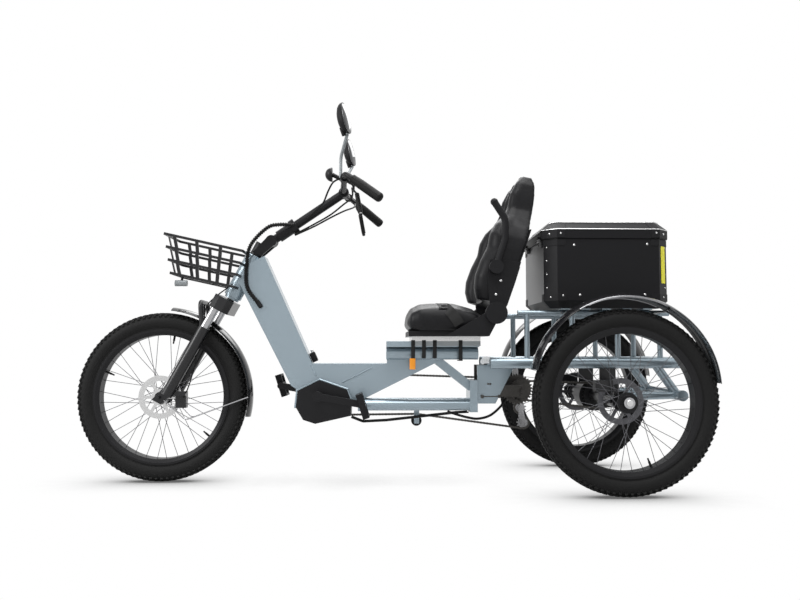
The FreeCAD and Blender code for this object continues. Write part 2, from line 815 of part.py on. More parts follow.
mirror_rings = [mirror_ring(-mirror_depth, mirror_back_share),
                mirror_ring(-mirror_ball_radius / 2, full_share),
                mirror_ring(mirror_ball_radius, full_share)]
mirror = Part.makeLoft(mirror_rings, True, True).fuse(swivel)
mirror = mirror.cut(rod(mirror_foot, mirror_foot.add(vec(0, 0, mirror_ball_radius + face_clearance)),
                        stalk_radius + running_clearance))
nodes["right_mirror"] = [mirror]
nodes["left_mirror"] = [mirrored(mirror)]

# Main frame
crank_x = rear_x - crank_ahead
crank_z = axle_z + crank_rise
half_frame = frame_width / 2
join = to_world(vec(0, 0, head_foot + (head_top - head_foot) * down_tube_join_share))
foot = vec(crank_x - down_tube_foot_ahead, 0, crank_z + down_tube_foot_rise)
run = join.sub(foot).normalize()
across = vec(run.z, 0, -run.x)
rear_top = join.add(across * (down_tube_top_depth / 2))
front_top = join.sub(across * (down_tube_top_depth / 2))
rear_foot = foot.add(across * (down_tube_foot_depth / 2))
front_foot = foot.sub(across * (down_tube_foot_depth / 2))


def crossing(a, b, c, d):
    # Where the side-view lines a-b and c-d meet
    first = b.sub(a)
    second = d.sub(c)
    share = (c.sub(a).x * second.z - c.sub(a).z * second.x) / (first.x * second.z - first.z * second.x)
    return a.add(first * share)


front_meet = crossing(front_top, front_foot, to_world(head_low), to_world(head_high))
floor_z = axle_z + floor_rise
floor_start = crossing(rear_top, rear_foot, vec(front_x, 0, floor_z), vec(rear_x, 0, floor_z))
down_points = [(spot.x, spot.z) for spot in (join, rear_top, rear_foot, front_foot, front_meet)]
down_tube = prism(down_points, -half_frame, half_frame).cut(head_solid)
pack_start = foot.add(run * frame_wall)
pack_end = join.sub(run * (head_radius * 3))


def tube_slice(start, end, inset, half):
    corners = []
    for spot in (start, end):
        share = spot.sub(foot).Length / join.sub(foot).Length
        depth = down_tube_foot_depth + (down_tube_top_depth - down_tube_foot_depth) * share
        corners.append((spot.add(across * (depth / 2 - inset)), spot.sub(across * (depth / 2 - inset))))
    ring = [corners[0][0], corners[1][0], corners[1][1], corners[0][1]]
    return prism([(spot.x, spot.z) for spot in ring], -half, half)


down_tube = down_tube.cut(tube_slice(pack_start, pack_end, frame_wall, half_frame - frame_wall))
pack_gap = frame_wall * 2
nodes["battery_pack"] = [tube_slice(pack_start, pack_end, frame_wall, half_frame - pack_gap)]
strut_foot = (crank_x + strut_foot_back, crank_z - strut_foot_drop)
strut_toe = (rear_x - strut_top_ahead, axle_z + strut_top_rise)
strut_end = (rear_x - strut_top_ahead, axle_z + strut_top_rise + strut_end_height)
rail_floor = axle_z + rail_tube_rise - rail_tube_radius
tower_front = rear_x - floor_end_ahead
strut_crest = (rear_x - strut_crest_ahead, axle_z + strut_crest_rise)
deck_foot = axle_z + rail_tube_rise + rail_tube_radius
floor_beam = prism([(floor_start.x, floor_z), (tower_front, floor_z), strut_crest,
                    (rear_foot.x, rear_foot.z)],
                   -half_frame, half_frame)
strut = prism([strut_foot, strut_toe, strut_end, (tower_front, floor_z), strut_crest], -half_frame,
              half_frame)
tower = prism([(tower_front, floor_z), strut_end, (strut_end[0], deck_foot), (tower_front, deck_foot)],
              -half_frame, half_frame)
slope = (strut_toe[1] - strut_foot[1]) / (strut_toe[0] - strut_foot[0])
stay_z = axle_z + stay_rise
cradle_rear = strut_foot[0] + cradle_thickness
cradle = prism([(strut_foot[0], stay_z - stay_radius), (cradle_rear, stay_z - stay_radius),
                (cradle_rear, strut_foot[1] + slope * cradle_thickness), strut_foot],
               -stay_spread - stay_radius, stay_spread + stay_radius)


def hollowed(points, solid):
    # A box tube keeps its wall all round
    shrunk = polygon_face([vec(x, -half_frame + frame_wall, z)
                           for x, z in points]).makeOffset2D(-frame_wall)
    return solid.cut(shrunk.extrude(vec(0, frame_width - frame_wall * 2, 0)))


floor_beam = hollowed([(floor_start.x, floor_z), (tower_front, floor_z), strut_crest,
                       (rear_foot.x, rear_foot.z)],
                      floor_beam)
strut = hollowed([strut_foot, strut_toe, strut_end, (tower_front, floor_z), strut_crest], strut)
tower = hollowed([(tower_front, floor_z), strut_end, (strut_end[0], deck_foot), (tower_front, deck_foot)],
                 tower)
motor_points = [(crank_x + motor_width * back, crank_z + motor_width * up) for back, up in motor_shares]
half_motor = motor_width / 2
web_points = [(rear_foot.x, rear_foot.z), strut_crest, strut_foot, motor_points[6], motor_points[7],
              motor_points[0],
              motor_points[1], (front_foot.x, front_foot.z)]
web_inner = half_frame - frame_wall * 2
web = prism(web_points, web_inner, half_frame)
nodes["main_frame"] = [head_tube, down_tube, floor_beam, strut, tower, cradle] + both_sides(web)

# Motor and cranks
motor = prism(motor_points, -half_motor, half_motor)
cavity = polygon_face([vec(x, -half_motor + motor_wall, z)
                       for x, z in motor_points]).makeOffset2D(-motor_wall)
motor = motor.cut(cavity.extrude(vec(0, motor_width - motor_wall * 2, 0)))
axle_low = vec(crank_x, -crank_offset - crank_thickness, crank_z)
axle_high = vec(crank_x, crank_offset + crank_thickness, crank_z)
motor = motor.cut(rod(axle_low, axle_high, crank_axle_radius + running_clearance))
nodes["motor_unit"] = [motor]
swing = math.radians(crank_angle)
crank_axle = rod(axle_low, axle_high, crank_axle_radius)


def crank_arm(side):
    reach = -side * crank_length
    tip_x = crank_x + reach * math.cos(swing)
    tip_z = crank_z + reach * math.sin(swing)
    low = side * crank_offset
    high = side * (crank_offset + crank_thickness)
    up_x = -math.sin(swing)
    up_z = math.cos(swing)
    body = prism([
        (crank_x + up_x * crank_tip_radius, crank_z + up_z * crank_tip_radius),
        (tip_x + up_x * crank_tip_radius, tip_z + up_z * crank_tip_radius),
        (tip_x - up_x * crank_tip_radius, tip_z - up_z * crank_tip_radius),
        (crank_x - up_x * crank_tip_radius, crank_z - up_z * crank_tip_radius)], low, high)
    body = body.multiFuse([
        rod(vec(crank_x, low, crank_z), vec(crank_x, high, crank_z), crank_boss_radius),
        rod(vec(tip_x, low, tip_z), vec(tip_x, high, tip_z), crank_tip_radius)])
    pin_end = side * (crank_offset + crank_thickness + pedal_gap + pedal_length)
    pin = rod(vec(tip_x, low, tip_z), vec(tip_x, pin_end, tip_z), pedal_pin_radius)
    return body.fuse(pin)


def pedal(side):
    reach = -side * crank_length
    spot = vec(crank_x + reach * math.cos(swing), 0, crank_z + reach * math.sin(swing))
    low = side * (crank_offset + crank_thickness + pedal_gap)
    high = low + side * pedal_length
    start = min(low, high)
    end = max(low, high)
    half = pedal_width / 2
    thick = pedal_height / 2
    outer = slab(vec(-half, start, -thick), vec(half, end, thick))
    gap = half - pedal_bar_thickness
    for way in (-1, 1):
        low_x = min(way * pedal_boss_radius, way * gap)
        high_x = max(way * pedal_boss_radius, way * gap)
        outer = outer.cut(slab(vec(low_x, start + pedal_bar_thickness, -thick),
                               vec(high_x, end - pedal_bar_thickness, thick)))
    outer = outer.cut(rod(vec(0, start, 0), vec(0, end, 0), pedal_pin_radius + running_clearance))
    outer.rotate(vec(0, 0, 0), vec(0, 1, 0), pedal_angle)
    return moved(outer, spot.x, 0, spot.z)


crank_set = crank_axle.multiFuse([crank_arm(-1), crank_arm(1)])
nodes["cranks"] = [crank_set]
nodes["left_pedal"] = [pedal(-1)]
nodes["right_pedal"] = [pedal(1)]

# Sprockets and chains
half_plate = chain_plate_height / 2


def pitch_radius(teeth):
    return chain_pitch / (2 * math.sin(math.pi / teeth))


def sprocket(spot, teeth, offset, bore, thickness):
    radius = pitch_radius(teeth)
    root = radius - tooth_depth
    tip = radius + tooth_depth
    points = []
    for i in range(teeth):
        for share, reach in tooth_shares:
            angle = 2 * math.pi * (i + share) / teeth
            level = root if reach == 0 else tip
            points.append((spot.x + level * math.cos(angle), spot.z + level * math.sin(angle)))
    disc = prism(points, offset - thickness / 2, offset + thickness / 2)
    hole = rod(vec(spot.x, offset - thickness, spot.z), vec(spot.x, offset + thickness, spot.z), bore)
    return disc.cut(hole)


def tangent(first, second):
    # Straight run from one wheel to the next; the turn sign says which side the wheel lies
    gap = second[0].sub(first[0])
    lean = math.atan2(gap.z,
                      gap.x) - math.asin((second[2] * second[1] - first[2] * first[1]) / gap.Length)
    left = vec(-math.sin(lean), 0, math.cos(lean))
    return (first[0].sub(left * (first[2] * first[1])), second[0].sub(left * (second[2] * second[1])))


def tooth_lead(radius):
    # How far along a straight run the teeth still stand inside the links
    return math.sqrt((radius + tooth_depth) ** 2 - (radius - half_plate) ** 2) + chain_slot / 2


def chain(wheels, offset):
    spans = [tangent(wheels[i], wheels[(i + 1) % len(wheels)]) for i in range(len(wheels))]
    pieces = []
    for i, (start, end) in enumerate(spans):
        first = wheels[i]
        second = wheels[(i + 1) % len(wheels)]
        way = end.sub(start).normalize()
        side = vec(-way.z, 0, way.x) * half_plate
        ring = [start.add(side), end.add(side), end.sub(side), start.sub(side)]
        bar = prism([(spot.x, spot.z) for spot in ring], offset - chain_width / 2,
                    offset + chain_width / 2)
        for near, reach in ((start, way * tooth_lead(first[1])), (end, way * -tooth_lead(second[1]))):
            far = near.add(reach)
            gap = [near.add(side * 2), far.add(side * 2), far.sub(side * 2), near.sub(side * 2)]
            bar = bar.cut(prism([(spot.x, spot.z) for spot in gap], offset - chain_slot / 2,
                                offset + chain_slot / 2))
        pieces.extend(bar.Solids)
    for i, (centre, radius, turn) in enumerate(wheels):
        enter = spans[i - 1][1].sub(centre)
        leave = spans[i][0].sub(centre)
        begin = math.atan2(enter.z, enter.x)
        sweep = math.atan2(leave.z, leave.x) - begin
        while sweep * turn < 0:
            sweep = sweep + turn * 2 * math.pi
        corners = []
        for level in (radius - half_plate, radius + half_plate):
            for share in arc_shares:
                angle = begin + sweep * share
                corners.append(vec(centre.x + level * math.cos(angle), 0,
                                   centre.z + level * math.sin(angle)))
        band = loop([corners[0], (corners[1], corners[2]), corners[5], (corners[4], corners[3])])
        band = Part.Face(band)
        plate = (chain_width - chain_slot) / 2
        for low in (offset - chain_width / 2, offset + chain_slot / 2):
            piece = band.copy()
            piece.translate(vec(0, low, 0))
            pieces.append(piece.extrude(vec(0, plate, 0)))
    return pieces


crank_spot = vec(crank_x, 0, crank_z)
jack_spot = at_rear(jack_ahead, 0, jack_rise)
axle_spot = vec(rear_x, 0, axle_z)
guide_spot = at_rear(guide_ahead, 0, guide_rise)
tension_spot = at_rear(tension_ahead, 0, tension_rise)
idler_spot = at_rear(idler_ahead, 0, idler_rise)
pulley_pitch = pitch_radius(pulley_teeth)
idler_pitch = idler_radius + face_clearance + half_plate
nodes["drive_chain"] = chain([
    (crank_spot, pitch_radius(ring_teeth), -1), (jack_spot, pitch_radius(cog_teeth), -1),
    (guide_spot, pulley_pitch, 1), (tension_spot, pulley_pitch, -1), (idler_spot, idler_pitch, 1)],
    drive_chain_offset)
nodes["axle_chain"] = chain([
    (jack_spot, pitch_radius(jack_teeth), -1), (axle_spot, pitch_radius(axle_teeth), -1)],
    axle_chain_offset)
ring = sprocket(crank_spot, ring_teeth, drive_chain_offset, crank_axle_radius, tooth_thickness)
nodes["chainring"] = [ring]
jack_shaft = rod(vec(jack_spot.x, -jack_left, jack_spot.z), vec(jack_spot.x, jack_right, jack_spot.z),
                 jack_radius)
cogs = [sprocket(jack_spot, cog_teeth - i * cog_step_teeth, drive_chain_offset + i * cog_spacing,
                 jack_radius / 2,
                 tooth_thickness) for i in range(-2, 3)]
cogs.append(sprocket(jack_spot, jack_teeth, axle_chain_offset, jack_radius / 2, tooth_thickness))
spacer = rod(vec(jack_spot.x, drive_chain_offset - cog_spacing * 2, jack_spot.z),
             vec(jack_spot.x, drive_chain_offset + cog_spacing * 2, jack_spot.z), jack_radius * 2)
nodes["jackshaft"] = [jack_shaft.multiFuse(cogs + [spacer])]
idler_low = drive_chain_offset - idler_width / 2
idler_high = drive_chain_offset + idler_width / 2
idler = rod(vec(idler_spot.x, idler_low, idler_spot.z), vec(idler_spot.x, idler_high, idler_spot.z),
            idler_radius)
idler = idler.cut(rod(vec(idler_spot.x, idler_low, idler_spot.z),
                      vec(idler_spot.x, idler_high, idler_spot.z),
                      idler_pin_radius + running_clearance))
nodes["idler_roller"] = [idler]

# Stays, rear strut, gusset and idler bracket
stay_end = rear_x - stay_rear_ahead
gusset_rear = stay_end + gusset_length
gusset_low = axle_z + gusset_foot
gusset_high = axle_z + gusset_top
half_gusset = gusset_width / 2
stays = []
for side in (-1, 1):
    start = vec(cradle_rear, side * stay_spread, stay_z)
    end = vec(stay_end, side * stay_spread, stay_z)
    stay = pipe(start, end, stay_radius, stay_wall).cut(strut)
    stays.append(max(stay.Solids, key=lambda piece: piece.Volume))
gusset = slab(vec(stay_end, -half_gusset, gusset_low), vec(gusset_rear, half_gusset, gusset_high))
gusset = gusset.cut(slab(vec(stay_end + frame_wall, -half_gusset + frame_wall, gusset_low + frame_wall),
                         vec(gusset_rear - frame_wall, half_gusset - frame_wall,
                             gusset_high - frame_wall)))
strut_drop = rear_strut_depth
rear_strut = prism([
    (strut_end[0], strut_end[1]), (strut_end[0], strut_end[1] - strut_drop),
    (stay_end, gusset_high - strut_drop), (stay_end, gusset_high)], -rear_strut_width / 2,
    rear_strut_width / 2)
rear_strut = rear_strut.cut(prism([
    (strut_end[0], strut_end[1] - frame_wall), (strut_end[0], strut_end[1] - strut_drop + frame_wall),
    (stay_end, gusset_high - strut_drop + frame_wall), (stay_end, gusset_high - frame_wall)],
    -rear_strut_width / 2 + frame_wall, rear_strut_width / 2 - frame_wall))
rear_strut = rear_strut.cut(strut)
hook_low = stay_spread + stay_radius - plate_thickness
hook_high = hook_low + plate_thickness
idler_hook = slab(vec(idler_spot.x - idler_radius / 2, hook_low, idler_spot.z - idler_radius / 2),
                  vec(idler_spot.x + idler_radius / 2, hook_high, stay_z))
idler_hook = idler_hook.cut(rod(vec(cradle_rear, stay_spread, stay_z), vec(stay_end, stay_spread, stay_z),
                                stay_radius))
idler_pin = rod(vec(idler_spot.x, hook_low, idler_spot.z),
                vec(idler_spot.x, idler_high + plate_thickness, idler_spot.z),
                idler_pin_radius)
idler_head = rod(vec(idler_spot.x, idler_high + face_clearance, idler_spot.z),
                 vec(idler_spot.x, idler_high + plate_thickness, idler_spot.z), idler_pin_radius * 2)
idler_collar = rod(vec(idler_spot.x, hook_high, idler_spot.z),
                   vec(idler_spot.x, idler_low - face_clearance, idler_spot.z),
                   idler_pin_radius * 2)
idler_hook = idler_hook.multiFuse([idler_pin, idler_head, idler_collar])
nodes["rear_stays"] = stays + [gusset, rear_strut, idler_hook]

# Rear platform of tubes
rail_z = axle_z + rail_rise
rail_front = rear_x - rail_front_ahead
rail_rear = rear_x + rail_rear_back
rail_lines = [(vec(rail_front, side * rail_spread, rail_z), vec(rail_rear, side * rail_spread, rail_z))
              for side in (-1, 1)]
rails = [pipe(start, end, rail_radius, rail_wall) for start, end in rail_lines]
rail_solids = [rod(start, end, rail_radius) for start, end in rail_lines]
cross_places = (rail_front + rail_radius, rear_x - cross_two_ahead, rear_x + cross_rear_back)
crosses = []
cross_solids = []
for place in cross_places:
    start = vec(place, -rail_spread, rail_z)
    end = vec(place, rail_spread, rail_z)
    crosses.append(pipe(start, end, rail_radius, rail_wall).cut(rail_solids[0]).cut(rail_solids[1]))
    cross_solids.append(rod(start, end, rail_radius))
bumper_x = rear_x + bumper_back
bumper_z = axle_z + bumper_rise
bumper_low = vec(bumper_x, -bumper_half_length, bumper_z)
bumper_high = vec(bumper_x, bumper_half_length, bumper_z)
bumper_solid = rod(bumper_low, bumper_high, bumper_radius)
inner_half = bumper_half_length - rail_wall * 2
bumper = bumper_solid.cut(rod(vec(bumper_x, -inner_half, bumper_z), vec(bumper_x, inner_half, bumper_z),
                              bumper_radius - rail_wall))
housing_low = vec(rear_x, -housing_outer, axle_z)
housing_high = vec(rear_x, housing_outer, axle_z)
housing_solid = rod(housing_low, housing_high, housing_radius)
hanger_half = hanger_length / 2
props = []
hangers = []
for i, side in enumerate((-1, 1)):
    top = vec(rear_x + diagonal_top_back, side * rail_spread, rail_z)
    low = vec(bumper_x, side * rail_spread, bumper_z)
    prop = pipe(top, low, diagonal_radius, rail_wall)
    props.append(prop.cut(rail_solids[i]).cut(bumper_solid))
    hanger = slab(vec(rear_x - hanger_half, side * rail_spread - hanger_thickness / 2,
                      axle_z - housing_radius - hanger_thickness),
                  vec(rear_x + hanger_half, side * rail_spread + hanger_thickness / 2, rail_z))
    hangers.append(hanger.cut(rail_solids[i]).cut(housing_solid))
    link = pipe(vec(rear_x + hanger_half, side * rail_spread, axle_z + bumper_rise / 2), low, link_radius,
                rail_wall)
    props.append(link.cut(bumper_solid).cut(hanger).cut(prop).cut(rod(top, low, diagonal_radius)))
nodes["rear_platform"] = rails + crosses + [bumper] + props

# Jackshaft plates and carriers
plate_top = rail_z - rail_radius / 2
plate_back = cross_places[1] + rail_radius / 2
plate_points = [(gusset_rear, gusset_low + plate_foot_lift), (gusset_rear, plate_top),
                (plate_back, plate_top),
                (plate_toe_back + gusset_rear, gusset_low + plate_foot_lift)]
plates = []
carriers = []
for side in (-1, 1):
    low = side * plate_offset - plate_thickness / 2
    plate = prism(plate_points, low, low + plate_thickness)
    for solid in cross_solids:
        plate = plate.cut(solid)
    plates.append(plate)
    inner = side * (plate_offset - plate_thickness / 2 - carrier_thickness / 2)
    start = inner - carrier_thickness / 2
    end = inner + carrier_thickness / 2
    front = jack_spot.x - jack_ahead / 3
    arm = prism([(front, jack_spot.z + carrier_radius), (jack_spot.x, jack_spot.z + carrier_radius),
                 (jack_spot.x, jack_spot.z - carrier_radius), (front, jack_spot.z - carrier_radius)],
                 start, end)
    arm = arm.fuse(rod(vec(jack_spot.x, start, jack_spot.z), vec(jack_spot.x, end, jack_spot.z),
                       carrier_radius))
    carriers.append(arm.cut(rod(vec(jack_spot.x, start, jack_spot.z), vec(jack_spot.x, end, jack_spot.z),
                                jack_radius + running_clearance)))
nodes["jackshaft_bracket"] = plates + carriers

# Axle housing, hubs with half shafts, differential drum
right_housing = pipe(vec(rear_x, housing_inner, axle_z), housing_high, housing_radius,
                     housing_radius - housing_bore)
left_housing = pipe(housing_low, vec(rear_x, -housing_gap, axle_z), housing_radius,
                    housing_radius - housing_bore)
rings = []
for low, high in ((housing_inner, housing_outer), (-housing_outer, -housing_gap)):
    for start in (low, high - bearing_width):
        ring_bearing = rod(vec(rear_x, start, axle_z), vec(rear_x, start + bearing_width, axle_z),
                           housing_bore)
        rings.append(ring_bearing.cut(rod(vec(rear_x, start, axle_z),
                                          vec(rear_x, start + bearing_width, axle_z),
                                          shaft_radius + running_clearance)))
nodes["axle_housing"] = [right_housing, left_housing] + rings + hangers
shaft_split = (drum_start + drum_end) / 2
for name, side in (("left", -1), ("right", 1)):
    inner_end = shaft_split - face_clearance if side < 0 else shaft_split + face_clearance
    spans = [(inner_end, side * axle_cap_out, shaft_radius),
             (side * rear_hub_inner, side * rear_hub_outer, rear_hub_radius),
             (side * (rear_rotor_offset - neck_half), side * rear_hub_inner, front_hub_radius),
             (side * rear_hub_outer, side * axle_cap_out, axle_cap_radius)]
    for way in (-1, 1):
        middle = half_track + way * flange_spread
        spans.append((side * (middle - flange_thickness / 2), side * (middle + flange_thickness / 2),
                      rear_flange_radius))
    shell = [rod(vec(0, start, 0), vec(0, end, 0), radius) for start, end, radius in spans]
    hub = shell[0].multiFuse(shell[1:])
    disc = rotor(front_hub_radius, side * rear_rotor_offset)
    nodes[name + "_hub"] = [moved(piece, rear_x, 0, axle_z) for piece in (hub, disc)]
drum_bore = shaft_radius + running_clearance
drum = rod(vec(rear_x, drum_start, axle_z), vec(rear_x, drum_end, axle_z), drum_radius)
drum = drum.fuse(rod(vec(rear_x, 0, axle_z), vec(rear_x, drum_start, axle_z), neck_radius))
drum = drum.fuse(sprocket(axle_spot, axle_teeth, axle_chain_offset, shaft_radius, tooth_thickness))
drum_hole = rod(vec(rear_x, 0, axle_z), vec(rear_x, drum_end, axle_z), drum_bore)
nodes["differential"] = [drum.cut(drum_hole)]

# Derailleur with pulleys
cage_gap = chain_width / 2 + face_clearance * 2
pulley_bore = idler_pin_radius / 2
cages = []
for low in (drive_chain_offset - cage_gap - cage_thickness, drive_chain_offset + cage_gap):
    way = tension_spot.sub(guide_spot).normalize()
    side = vec(-way.z, 0, way.x) * (cage_width / 2)
    points = [guide_spot.add(side), tension_spot.add(side), tension_spot.sub(side), guide_spot.sub(side)]
    cage = prism([(spot.x, spot.z) for spot in points], low, low + cage_thickness)
    for spot in (guide_spot, tension_spot):
        cage = cage.fuse(rod(vec(spot.x, low, spot.z), vec(spot.x, low + cage_thickness, spot.z),
                             cage_width / 2))
    cages.append(cage)
pins = [rod(vec(spot.x, drive_chain_offset - cage_gap, spot.z),
            vec(spot.x, drive_chain_offset + cage_gap, spot.z),
            pulley_bore) for spot in (guide_spot, tension_spot)]
body_low = drive_chain_offset + cage_gap + cage_thickness
hanger_high = jack_right + plate_thickness
mech = prism([(guide_spot.x - cage_width / 2, guide_spot.z - cage_width / 2),
              (guide_spot.x + cage_width / 2, guide_spot.z - cage_width / 2),
              (jack_spot.x + carrier_radius, jack_spot.z), (jack_spot.x, jack_spot.z + carrier_radius),
              (jack_spot.x - carrier_radius, jack_spot.z)], jack_right + face_clearance, hanger_high)
mech = mech.fuse(rod(vec(guide_spot.x, body_low, guide_spot.z),
                     vec(guide_spot.x, hanger_high, guide_spot.z), cage_width / 2))
nodes["derailleur"] = cages + pins + [mech] + [
    sprocket(spot, pulley_teeth, drive_chain_offset, pulley_bore, pulley_width) for spot in (guide_spot,
                                                                                             tension_spot)]
arm_half = cage_width / 2
hang_arm = slab(vec(jack_spot.x - arm_half, jack_right + face_clearance, jack_spot.z),
                vec(jack_spot.x + arm_half, hanger_high, rail_z))
hang_tab = slab(vec(jack_spot.x - arm_half, jack_right + face_clearance, rail_z - plate_thickness),
                vec(jack_spot.x + arm_half, rail_spread, rail_z + plate_thickness))
nodes["derailleur"].append(hang_arm.fuse(hang_tab).cut(rail_solids[1]).cut(mech))


# Calipers
rear_spot = vec(rear_x - caliper_back, 0, axle_z + caliper_lift)
rear_calipers = []
for side in (-1, 1):
    middle = side * rear_rotor_offset
    low = vec(rear_spot.x, middle - caliper_width / 2, rear_spot.z)
    block = slab(low, low.add(vec(caliper_length, caliper_width, caliper_height)))
    slot = rod(vec(rear_x, middle - caliper_slot / 2, axle_z),
               vec(rear_x, middle + caliper_slot / 2, axle_z),
               rotor_radius + caliper_slot)
    inner = side * (rear_rotor_offset - caliper_width / 2)
    outer = inner - side * bracket_thickness
    ear = slab(vec(rear_spot.x, min(inner, outer), rear_spot.z),
               vec(rear_x, max(inner, outer), rear_spot.z + caliper_height))
    ear = ear.fuse(slab(vec(rear_x - caliper_height / 2, min(inner, outer), axle_z),
                        vec(rear_x, max(inner, outer), rear_spot.z + caliper_height)))
    rear_calipers.append(block.cut(slot).fuse(ear).cut(housing_solid))
nodes["rear_calipers"] = rear_calipers
front_block_low = vec(front_x + front_caliper_back, -rotor_offset - caliper_width / 2,
                      axle_z - caliper_height)
front_block = slab(front_block_low,
                   front_block_low.add(vec(caliper_height, caliper_width, caliper_length)))
front_slot = rod(vec(front_x, -rotor_offset - caliper_slot / 2, axle_z),
                 vec(front_x, -rotor_offset + caliper_slot / 2, axle_z),
                 rotor_radius + caliper_slot)
front_ear = slab(vec(front_x + front_caliper_back - caliper_height, -leg_spread, axle_z + caliper_slot),
                 vec(front_x + front_caliper_back + caliper_height, -leg_spread + caliper_slot * 2,
                     axle_z + caliper_length - caliper_height))
near_leg = to_steer(mirrored(rod(leg_low, leg_high, leg_radius)))
front_block = front_block.fuse(front_ear).cut(front_slot).cut(near_leg).cut(to_steer(lowers))
nodes["front_caliper"] = [max(front_block.Solids, key=lambda piece: piece.Volume)]


# Mudguards
def guard(radius, width, start_angle, end_angle):
    half = width / 2
    edge = radius - guard_edge_drop
    section = loop([
        vec(edge, -half, 0), (vec(radius, 0, 0), vec(edge, half, 0)),
        vec(edge - guard_thickness, half, 0),
        (vec(radius - guard_thickness, 0, 0), vec(edge - guard_thickness, -half, 0))])
    band = Part.Face(section).revolve(vec(0, 0, 0), vec(0, -1, 0), start_angle - end_angle)
    band.rotate(vec(0, 0, 0), vec(0, -1, 0), end_angle)
    return band


rear_guard = guard(rear_guard_radius, guard_width, rear_guard_start_angle, rear_guard_end_angle)
rack_z = axle_z + rack_rise
brace_height = rack_z - axle_z - rear_guard_raise
brace_back = math.sqrt((rear_guard_radius - guard_edge_drop) ** 2 - brace_height ** 2)
guards = []
for side in (-1, 1):
    fender = moved(rear_guard, rear_x, side * half_track, axle_z + rear_guard_raise)
    guards.append(fender)
    for way in (-1, 1):
        place = rear_x + way * brace_back
        brace = rod(vec(place, side * (rail_spread + rack_tube_radius), rack_z),
                    vec(place, side * (half_track - guard_width / 2 + guard_edge_drop), rack_z),
                    guard_stay_radius * 2)
        guards.append(brace.cut(fender))
nodes["rear_mudguards"] = guards
front_fender = moved(guard(front_guard_radius, front_guard_width, front_guard_top_angle,
                           front_guard_end_angle),
                     front_x, 0, axle_z)
arch_middle = to_world(vec(-arch_lead, 0, arch_top))
prop_back = arch_middle.x - front_x
prop_z = axle_z + math.sqrt(front_guard_radius ** 2 - prop_back ** 2)
prop = rod(arch_middle, vec(arch_middle.x, 0, prop_z - guard_thickness / 2), guard_stay_radius * 2)
prop = prop.cut(to_steer(lowers)).cut(front_fender)
stay_side = front_guard_width / 2 + guard_stay_radius
stay_top = vec(front_x + front_guard_radius - guard_edge_drop, stay_side, axle_z)
stay_knee = vec(front_x + stay_knee_back, leg_spread - leg_radius + guard_stay_radius,
                axle_z - stay_knee_drop)
stay_foot = vec(front_x + dropout_half, dropout_gap + dropout_thickness + guard_stay_radius,
                axle_z - dropout_half / 2)
guard_stay = route([stay_top, stay_knee, stay_foot], guard_stay_radius, leg_radius)
guard_stay = guard_stay.cut(front_fender).cut(to_steer(lowers))
nodes["front_mudguard"] = [front_fender, prop] + both_sides(guard_stay)

# Rack
rack_front = rear_x - rack_front_ahead
rack_rear = rear_x + rack_rear_back
rack_lines = [(vec(rack_front, side * rail_spread, rack_z), vec(rack_rear, side * rail_spread, rack_z))
              for side in (-1, 1)]
rack_pieces = [pipe(start, end, rack_tube_radius, rail_wall) for start, end in rack_lines]
rack_solids = [rod(start, end, rack_tube_radius) for start, end in rack_lines]
for i, side in enumerate((-1, 1)):
    for share in post_shares:
        place = rack_front + (rack_rear - rack_front) * share
        post = pipe(vec(place, side * rail_spread, rail_z), vec(place, side * rail_spread, rack_z),
                    post_radius, rail_wall)
        rack_pieces.append(post.cut(rail_solids[i]).cut(rack_solids[i]))
box_foot = rack_z + rack_tube_radius + rack_slat_height
box_front = rear_x - box_front_ahead
box_rear = rear_x + box_rear_back
for i in range(rack_slat_count):
    place = box_front + (box_rear - box_front) * (i + 1) / (rack_slat_count + 1)
    rack_pieces.append(slab(vec(place - rack_slat_width / 2, -rail_spread - rack_slat_width,
                                box_foot - rack_slat_height),
                            vec(place + rack_slat_width / 2, rail_spread + rack_slat_width, box_foot)))
nodes["cargo_rack"] = rack_pieces


# Cargo box and lid
def plan(inset, z):
    low = box_front + inset
    high = box_rear - inset
    half = box_half_width - inset
    cut = box_corner - inset * corner_shrink_share
    return [vec(low + cut, -half, z), vec(high - cut, -half, z), vec(high, -half + cut, z),
            vec(high, half - cut, z),
            vec(high - cut, half, z), vec(low + cut, half, z), vec(low, half - cut, z),
            vec(low, -half + cut, z)]


def ring_loft(sections):
    return Part.makeLoft([Part.makePolygon(section + [section[0]]) for section in sections], True, True)


